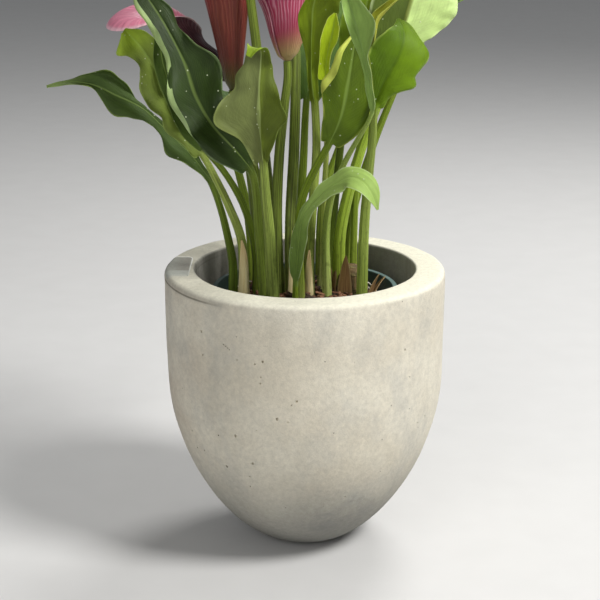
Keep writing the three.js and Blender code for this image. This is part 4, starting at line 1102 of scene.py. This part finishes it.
calla_leaf(
    "rolled_bud", leaf_finish(
        "bud_yellow_green", (0.4, 0.42, 0.04), (0.42, 0.42, 0.05)),
    root=(31, 10),
    stalk=[(32, 11, 223), (34, 11, 255), (37, 3, 293), (40, -8, 322)],
    rib=[(43, -10, 338), (50, -11, 347), (60, -11, 356)],
    girth=(2.6, 1.5), face=[(0, -0.9, 0.5), (0, -0.8, 0.6), (0, -0.8, 0.6)],
    left=[0.8, 1.5, 2, 2, 1.6, 1.2, 0.4],
    rise=[(50, 50, 40), (50, 50, 40)], curl=[(60, 60, 40), (60, 60, 40)],
    lobe=(0, 0), wave=(0.3, 1, 0), ruffle=(0.1, 4))

calla_leaf(
    "behind_green", leaf_finish(
        "behind_green", (0.16, 0.26, 0.01), (0.2, 0.3, 0.02), stalk=(0.1, 0.15, 0.012),
        foot=(0.14, 0.18, 0.03)),
    root=(15, 17),
    stalk=[(19, 20, 217), (24, 24, 265), (29, 26, 298)],
    rib=[(34, 27, 320), (37, 29, 336), (40, 33, 351), (41, 40, 364)],
    girth=(3.2, 2), face=[(0.1, -0.95, 0.1), (0, -0.9, 0.3), (0, -0.8, 0.5)],
    left=[3, 9, 13, 14, 12, 8, 0.5], right=[3, 9, 12, 13, 12, 8, 0.5],
    rise=[(15, 15, 15), (15, 15, 15)], curl=[(-10, -10, -10), (-10, -10, -10)],
    lobe=(3, 3), wave=(2, 2, 0.3))

calla_leaf(
    "far_right", leaf_finish(
        "far_right_green", (0.05, 0.11, 0.02), (0.14, 0.22, 0.05)),
    root=(28, 27),
    stalk=[(31, 30, 208), (43, 38, 249), (58, 44, 287), (71, 48, 316)],
    rib=[(84, 52, 337), (94, 57, 350), (105, 62, 360), (114.5, 68, 366)],
    girth=(3.2, 1.9), face=[(-0.5, -0.6, 0.6), (-0.4, -0.6, 0.7), (-0.1, -0.6, 0.8)],
    left=[2, 6, 11, 13, 12, 8, 0.5],
    rise=[(20, 15, 15), (20, 15, 15)], curl=[(-20, -20, -20), (-20, -20, -20)],
    lobe=(4, 4), wave=(2, 2, 0.1))


# Three leaves that fan out behind the clump, of the same kind as those in front. They stand
# in the soil at the back of the pot.
calla_leaf(
    "back_left", leaf_finish(
        "back_left_green", (0.06, 0.12, 0.015), (0.13, 0.2, 0.025)),
    root=(-34, 33),
    stalk=[(-37, 38, 205), (-44, 48, 234), (-52, 62, 256)],
    rib=[(-61, 76, 271), (-71, 90, 281), (-81, 104, 285), (-90, 115, 283), (-98, 124.5, 278)],
    girth=(3.6, 2.2), face=[(0.4, -0.5, 0.7), (0.2, -0.3, 0.9), (-0.2, 0, 0.95)],
    left=[3, 12, 17, 17, 15, 9, 0.5],
    rise=[(20, 15, 10), (20, 15, 10)], curl=[(-20, -25, -20), (-20, -25, -20)],
    lobe=(8, 8), wave=(3, 2.5, 0.2))

calla_leaf(
    "back_middle", leaf_finish(
        "back_middle_green", (0.07, 0.14, 0.015), (0.14, 0.2, 0.02)),
    root=(-2, 31),
    stalk=[(-3, 36, 205), (-1, 46, 241), (1, 58, 278)],
    rib=[(5, 71, 304), (9, 83, 322), (13, 95, 335), (18.5, 107, 343), (23, 119, 345)],
    girth=(3.6, 2.2), face=[(0.1, -0.7, 0.7), (0.1, -0.6, 0.8), (0, -0.1, 1)],
    left=[3, 14, 20, 21, 18, 12, 0.5],
    rise=[(20, 15, 10), (20, 15, 10)], curl=[(-20, -25, -20), (-20, -25, -20)],
    lobe=(8, 8), wave=(3, 2.5, 0.6))

calla_leaf(
    "back_right", leaf_finish(
        "back_right_green", (0.08, 0.15, 0.015), (0.15, 0.22, 0.025)),
    root=(10, 37),
    stalk=[(12, 44, 215), (22, 55, 246), (34, 67, 274)],
    rib=[(45, 79, 293), (56, 90, 306), (67, 101, 313), (77, 112, 314), (86, 122, 309)],
    girth=(3.4, 2), face=[(-0.3, -0.5, 0.8), (-0.1, -0.3, 0.9), (0.2, 0, 0.95)],
    left=[3, 13, 19, 19, 16, 10, 0.5], right=[3, 13, 18, 19, 16, 10, 0.5],
    rise=[(20, 15, 10), (20, 15, 10)], curl=[(-20, -25, -20), (-20, -25, -20)],
    lobe=(7, 7), wave=(2.5, 2.5, 0.8))


# Flowers: a fleshy green stem, a spathe that is one waxy sheet rolled round its foot, and a
# yellow spike of tiny florets inside. Each flower is shaped by one set of sizes.
STEM_GIRTH = (4.2, 2.6)
STEM_CORNERS = 28
STEM_RINGS = 60
NECK_LENGTH = 10
GAP = 0.3
SPATHE_UP = 44
SPATHE_AROUND = 110
SPATHE_ROLL = 1.9
SPATHE_THROAT = 0.45
SPATHE_FLOOR = 7
SPADIX_SHARE = 0.5
SPADIX_RADIUS = 3


def stem_rings(path, girth):
    shares = np.linspace(0, 1, STEM_RINGS)
    radius = girth[0] + (girth[1] - girth[0]) * shares
    rings = round_rings(path, shares, np.array((0.1, -1, 0.1)), radius, STEM_CORNERS)
    around = np.linspace(-1, 1, STEM_CORNERS)
    growth = np.stack(np.broadcast_arrays(
        shares[:, None] - 1.1, around[None, :], 0 * around[None, :]), axis=-1)
    return rings, growth


def spathe_sheet(length, front, foot, lean, seam, flare, point, overlap, fullness):
    """The rolled sheet, from its foot up and from one free edge round to the other."""
    u = np.linspace(0, 1, SPATHE_UP + 1)
    v = np.linspace(-1, 1, SPATHE_AROUND + 1)
    turn = v / 2 * (360 + overlap)
    back = ((1 + np.cos(np.radians(turn))) / 2) ** fullness
    reach = length * (front + (1 - front) * back)
    first, throat, lip = [s + (l - s) * back for s, l in zip(seam, lean)]
    middle = (u[1:] + u[:-1])[:, None] / 2
    opening = np.clip((middle - SPATHE_THROAT) / (1 - SPATHE_THROAT), 0, 1) ** flare
    closing = np.clip(1 - middle / SPATHE_THROAT, 0, 1)
    slope = np.radians(throat + (lip - throat) * opening + closing * (first - throat))
    none = np.zeros((1, len(v)))
    step = reach / SPATHE_UP
    out = foot + np.vstack([none, np.cumsum(np.sin(slope) * step, axis=0)])
    up = np.vstack([none, np.cumsum(np.cos(slope) * step, axis=0)])
    horn = point * np.exp(-((turn / 26) ** 2)) * (np.clip((u - 0.6) / 0.4, 0, 1) ** 2)[:, None]
    swell = ease(u, 0, 0.07)[:, None]
    radius = (out - 1.1 * (1 - swell) + SPATHE_ROLL * (v + 1) / 2 * (0.3 + 0.7 * swell)
              + 0.6 * horn)
    angle = np.radians(turn)
    sheet = np.stack([radius * np.cos(angle), radius * np.sin(angle), up + 0.8 * horn], axis=-1)
    return u, v, sheet


def sheet_skin(name, sheet, thick, u, v):
    """A closed skin over a sheet of points and its far side, thick behind it."""
    far_side = sheet - sheet_normals(sheet) * thick
    return sleeve(name, np.concatenate([sheet, far_side[:, ::-1]], axis=1), two_sided(u, v))


def aimed(body, axis, tip, place):
    """Turns a body that grows up +Z to a flower's axis, with its point at compass tip."""
    turn = Vector((0, 0, 1)).rotation_difference(Vector(axis))
    for vertex in body.data.vertices:
        co = vertex.co.copy()
        co.rotate(Euler((0, 0, math.radians(tip))))
        co.rotate(turn)
        vertex.co = co + Vector(place) * MM
    body.data.update()


def calla_flower(name, root, stalk, axis, tip, length, front, lean, seam, finish_of,
                 foot=4, flare=1.6, point=14, overlap=40, fullness=0.8):
    """Grows a flower: its stem, its spathe and its spadix. lean and seam are the slopes of the
    spathe's back and of its seam, at the foot, in the throat and at the lip. fullness tells how
    soon the back passes into the seam."""
    axis = unit(np.array(axis, float))
    head = np.array(stalk[-1], float)
    path = stem_path(root, [*stalk[:-1], head - NECK_LENGTH * axis, head])
    rings, growth = stem_rings(path, STEM_GIRTH)
    stem = sleeve(name + "_flower_stem", rings, growth)
    stand_for(stem, "flower_" + name + "_stem", stem_finish)
    base = head + GAP * axis
    u, v, sheet = spathe_sheet(length, front, foot, lean, seam, flare, point, overlap, fullness)
    thick = 0.75 - 0.35 * u[:, None, None] ** 6
    spathe = sheet_skin(name + "_spathe_sheet", sheet, thick, u, v)
    plug = turned("spathe_foot", [(foot - 1.5, 0), (foot - 1.2, 0.4), (foot - 0.4, 3),
                                  (foot + 0.9, SPATHE_FLOOR - 1), (foot + 0.4, SPATHE_FLOOR),
                                  (1, SPATHE_FLOOR)], 32)
    smooth(plug)
    joined(spathe, plug)
    aimed(spathe, axis, tip, base)
    stand_for(spathe, "flower_" + name + "_spathe", finish_of)
    height = SPADIX_SHARE * length
    profile = [(2.6, 0), (SPADIX_RADIUS, 0.5)]
    profile += [(SPADIX_RADIUS + 0.3 * math.sin(math.pi * t), height * t)
                for t in np.linspace(0.03, 0.8, 40)]
    profile += [(3.1 * math.cos(a), height * (0.8 + 0.2 * math.sin(a)))
                for a in np.radians(np.linspace(8, 84, 12))]
    profile = [(r, z + SPATHE_FLOOR + GAP) for r, z in profile]
    spadix = turned(name + "_spadix_spike", profile, 36)
    for vertex in spadix.data.vertices:
        turn = math.atan2(vertex.co.y, vertex.co.x)
        florets = math.sin(11 * turn + vertex.co.z * 1500) * math.sin(vertex.co.z * 2300)
        vertex.co.x *= 1 + 0.07 * florets
        vertex.co.y *= 1 + 0.07 * florets
    smooth(spadix, 180)
    aimed(spadix, axis, tip, base)
    stand_for(spadix, "flower_" + name + "_spadix", spadix_finish)
    return path


def stem_look(here):
    place = object_place(here)
    growth = growth_of(here)
    grown = growth.parts()[0]
    streak = growth.stretched((2, 9, 3)).noise(1.6, 4, 0.65).between(0.32, 0.68)
    colour = (grown + 1).between(-0.1, 0.5).mix((0.16, 0.2, 0.04), (0.15, 0.2, 0.025))
    colour = colour.shaded(0.4 + 1.2 * streak)
    speckles = place.stretched((1, 1, 0.45)).noise(460, 2).between(0.56, 0.68)
    low = 1 - (grown + 1).between(0.15, 0.6)
    colour = (speckles * low * 0.35).mix(colour, (0.05, 0.055, 0.015))
    return {"Base Color": colour, "Roughness": 0.4 + 0.15 * streak,
            "Normal": (streak * 0.5 + speckles * 0.2).bump(0.0004)}


def spadix_look(here):
    place = object_place(here)
    grains = place.cells(900)
    colour = grains.between(0.1, 0.7).mix((0.62, 0.36, 0.05), (0.32, 0.13, 0.01))
    return {"Base Color": colour, "Normal": (1 - grains).bump(0.0004)}


LINES_ROUND = 46


def spathe_finish(name, foot, body, lip, inside, line, line_strength=0.4, foot_to=0.4,
                  edge=(0.75, 0.45, 0.5), flap=0.0):
    """Waxy spathe: colours up its outside from foot to lip, its inside, and fine lines that
    run up the sheet and fade towards the foot. flap is how pale the overlapping edge is."""

    def look(here):
        place = object_place(here)
        growth = growth_of(here)
        up, around, side = growth.parts()
        wobble = growth.stretched((2, 5, 1)).noise(1.5, 2) * 0.05
        streaks = (around * LINES_ROUND / 2 + wobble * LINES_ROUND).waves() ** 2
        soft = growth.stretched((1.5, 26, 1)).noise(1.5, 3, 0.6)
        colour = up.between(0.02, foot_to).mix(foot, body)
        colour = up.between(0.57, 0.92).mix(colour, lip)
        colour = (streaks * up.between(0.2, 0.6) * line_strength).mix(colour, line)
        inner = (soft.between(0.3, 0.8) * 0.5).mix(inside, line)
        colour = side.between(0.4, 0.6).mix(colour, inner)
        colour = colour.shaded(0.7 + 0.6 * soft)
        rim = up.between(0.965, 0.995)
        colour = (rim * 0.6).mix(colour, edge)
        free = abs(around).between(0.985, 0.997) * 0.5
        colour = (free + flap * (0 - around).between(0.7, 0.78) * soft).mix(colour, edge)
        return {"Base Color": colour, "Roughness": 0.36 + 0.25 * soft,
                "Normal": (streaks * 0.4 + soft * 0.6).bump(0.0005)}

    return finish(name, look, Specular_IOR_Level=0.4, Coat_Weight=0.12, Coat_Roughness=0.3)


stem_finish = finish("stem_green", stem_look, Specular_IOR_Level=0.3)
spadix_finish = finish("spadix_yellow", spadix_look, Roughness=0.8)

# The wine spathe's near-black outside is partly its own dark colour and partly painted shade of the
# funnel under its rolled lip.
calla_flower(
    "left", root=(-29, 20), stalk=[(-31, 22, 200), (-35, 24, 239), (-40, 26, 270), (-48, 26, 298)],
    axis=(-0.62, -0.36, 0.69), tip=201, length=94, front=0.4, lean=(21, -4, 116),
    seam=(20, -9, 53), flare=2.9, point=2, overlap=60, fullness=0.7,
    finish_of=spathe_finish(
        "wine_spathe", (0.05, 0.012, 0.014), (0.04, 0.004, 0.01), (0.08, 0.012, 0.03),
        (0.8, 0.24, 0.35), (0.9, 0.42, 0.5), edge=(0.9, 0.66, 0.7), line_strength=0.05))
calla_flower(
    "tube", root=(-23, 5), stalk=[(-26, 5, 201), (-32, 4, 243), (-40, 4, 273), (-45, 4, 294)],
    axis=(-0.02, 0, 1), tip=235, length=85, front=0.86, lean=(13, 13, 20), seam=(8, 5, -4),
    foot=2.9, point=8, overlap=70, fullness=1, finish_of=spathe_finish(
        "salmon_spathe", (0.1, 0.09, 0.01), (0.17, 0.028, 0.02), (0.22, 0.032, 0.028),
        (0.3, 0.12, 0.08), (0.34, 0.1, 0.06), edge=(0.5, 0.26, 0.13), foot_to=0.3, flap=0.75))
calla_flower(
    "middle", root=(-17, -5), stalk=[(-18, -3, 216), (-16, 0, 257), (-13, 3, 284), (-11, 5, 312)],
    axis=(-0.02, 0.1, 1), tip=15, length=78, front=0.62, lean=(34, -2, 108), seam=(26, 13, 42),
    foot=2.9, overlap=54, fullness=1.1, finish_of=spathe_finish(
        "magenta_spathe", (0.46, 0.33, 0.13), (0.38, 0.035, 0.085), (0.42, 0.03, 0.12),
        (0.5, 0.08, 0.2), (0.75, 0.38, 0.48), line_strength=0.5))
calla_flower(
    "high", root=(-16, 15), stalk=[(-20, 15, 190), (-24, 11, 235), (-27, 3, 270), (-29, -8, 315),
                                   (-33, -14, 352), (-36, -21, 372)],
    axis=(-0.2, -0.35, 0.9), tip=230, length=72, front=0.7, lean=(20, 10, 92), seam=(20, 8, 30),
    foot=3.6, finish_of=spathe_finish(
        "high_spathe", (0.24, 0.2, 0.07), (0.38, 0.06, 0.12), (0.45, 0.05, 0.14),
        (0.5, 0.08, 0.18), (0.68, 0.28, 0.38)))
flower_back_path = calla_flower(
    "back", root=(-9, -7), stalk=[(-9, -4, 213), (-7, 8, 255), (-6, 19, 292), (-6, 34, 320),
                                  (-7, 52, 345), (-8, 64, 362)],
    axis=(0.05, 0.42, 0.9), tip=80, length=67, front=0.7, lean=(20, 10, 90), seam=(20, 8, 30),
    finish_of=spathe_finish(
        "back_spathe", (0.22, 0.19, 0.06), (0.33, 0.05, 0.12), (0.42, 0.05, 0.14),
        (0.48, 0.08, 0.18), (0.65, 0.26, 0.36)))


# Papery sheaths: the dry remains of the first leaves, thin tan strips that still wrap part
# of a stem's foot and narrow to a point.
SHEATH_START = 4.8
SHEATH_THICKNESS = 0.45


def dry_sheath(side, path, girth, knot, top, compass, wrap):
    """Wraps a stem from just above its buried foot up to the height top. girth is the stem's
    at its foot and at the knot of its path."""
    start = SHEATH_START / path.length
    end = (top - SOIL_TOP + STAND_DEPTH) / path.length
    u = np.linspace(0, 1, 40)
    v = np.linspace(-1, 1, 19)
    shares = start + (end - start) * u
    place, _, up, right = cross_frame(path, shares, np.array((0, -1, 0.0)))
    spread = wrap / 2 * (1 - 0.93 * u ** 2.4)[:, None] * v[None, :]
    angle = np.radians(spread + compass + 90)
    wave = 0.25 * np.sin(9 * u)[:, None] * np.abs(v)[None, :] ** 2
    stem = girth[0] + (girth[1] - girth[0]) * np.clip(shares / path.knots[knot], 0, 1)
    radius = stem[:, None] + 1.1 + (1.2 * u ** 2)[:, None] + wave
    sheet = (place[:, None] + up[:, None] * (radius * np.cos(angle))[..., None]
             + right[:, None] * (radius * np.sin(angle))[..., None])
    made = sheet_skin(side + "_dry_sheath", sheet, SHEATH_THICKNESS, u, v)
    stand_for(made, "sheath_" + side, sheath_finish)


def paper_sheath_look(here):
    growth = growth_of(here)
    grown = growth.parts()[0]
    fibres = growth.stretched((1.5, 12, 1)).noise(2, 4, 0.6)
    colour = fibres.between(0.3, 0.7).mix((0.92, 0.85, 0.5), (0.62, 0.45, 0.16))
    colour = (grown.between(0.6, 1) * 0.5).mix(colour, (0.85, 0.55, 0.25))
    return {"Base Color": colour, "Normal": fibres.bump(0.0005)}


sheath_finish = finish("dry_sheath", paper_sheath_look, Roughness=0.7)
dry_sheath("left", hooded_path, (3.6, 2.1), 6, 203, -85, 120)
dry_sheath("middle", flower_back_path, STEM_GIRTH, -1, 207, -75, 75)
dry_sheath("right", tall_olive_path, (3.4, 2.4), 6, 196, -95, 85)


# Crown of the old tuber on the right: a brown fibrous stump with rings of old leaf scars,
# turned round its axis and roughened. Its foot is buried in the soil.
CROWN_PLACE = (29, 4)
crown_profile = [(8, 141), (9, 142), (12, 147), (13, 150), (13, 154), (12.5, 158), (12, 163),
                 (11, 168), (10.4, 172), (9.5, 176), (8, 179), (6, 181), (3, 182), (1, 182)]
crown = turned("tuber_crown_stump", crown_profile, 64, centre=CROWN_PLACE)
apply_modifier(crown, "SUBSURF", levels=1, render_levels=1)
for vertex in crown.data.vertices:
    around = vertex.co.xy.to_3d() - Vector((*CROWN_PLACE, 0)) * MM
    scars = noise.noise(Vector((0, 0, vertex.co.z * 420))) * 0.7
    lumps = noise.noise(vertex.co * 160) * 1.3
    if around.length > 0.001:
        vertex.co += around.normalized() * (scars + lumps - 0.5) * MM
smooth(crown, 60)


def crown_look(here):
    place = object_place(here)
    fibres = place.stretched((1, 1, 0.2)).noise(400, 4, 0.65)
    scars = place.stretched((0.2, 0.2, 1)).noise(330, 2).between(0.5, 0.65)
    colour = fibres.between(0.3, 0.7).mix((0.055, 0.035, 0.012), (0.2, 0.13, 0.045))
    colour = (scars * 0.5).mix(colour, (0.12, 0.12, 0.03))
    return {"Base Color": colour, "Normal": (fibres + scars * 0.5).bump(0.001)}


stand_for(crown, "tuber_crown", finish("crown_bark", crown_look, Roughness=0.85))


# Dry scales of the crown: papery pointed strips that stand round the stump and curl outwards.
# They grow from it just under the top of the soil.
SCALE_THICKNESS = 0.5


def crown_scale(number, compass, foot_reach, height, lean, width):
    """A strip whose foot stands foot_reach from the crown's axis and whose tip leans out."""
    turn = math.radians(compass)
    out = np.array((math.sin(turn), -math.cos(turn), 0))
    u = np.linspace(0, 1, 26)
    v = np.linspace(-1, 1, 11)
    line = (np.array((*CROWN_PLACE, SOIL_TOP - 4)) + out * (foot_reach + lean * u[:, None] ** 2)
            + np.array((0, 0, 1)) * height * u[:, None])
    side = np.array((math.cos(turn), math.sin(turn), 0))
    half = width * (1 - u ** 2.2) ** 0.8 + 0.12
    cup = 0.35 * half[:, None] * v[None, :] ** 2
    sheet = (line[:, None] + side * (half[:, None] * v[None, :])[..., None] - out * cup[..., None])
    scale = sheet_skin(f"crown_scale_{number}", sheet, SCALE_THICKNESS, u, v)
    dress(scale, scale_finish)


def scale_look(here):
    growth = growth_of(here)
    across = growth.parts()[1]
    fibres = growth.stretched((1.5, 9, 1)).noise(2, 4, 0.6)
    colour = fibres.between(0.3, 0.7).mix((0.44, 0.25, 0.09), (0.17, 0.085, 0.03))
    colour = (abs(across).between(0.7, 1) * 0.6).mix(colour, (0.55, 0.4, 0.2))
    return {"Base Color": colour, "Normal": fibres.bump(0.0006)}


scale_finish = finish("crown_scale", scale_look, Roughness=0.75)
# Each scale: compass direction from the front in degrees, reach of its foot, height, lean, width
SCALES = [(-75, 13, 35, -3, 5), (-20, 13, 39, -4, 5.5), (62, 14, 27, 7, 4.5), (95, 14, 22, 9, 4.5),
          (150, 14, 24, 4, 4.5), (-150, 14, 22, 5, 4), (-115, 13.5, 28, 1, 4.5)]
for number, sizes_of_scale in enumerate(SCALES, 1):
    crown_scale(number, *sizes_of_scale)
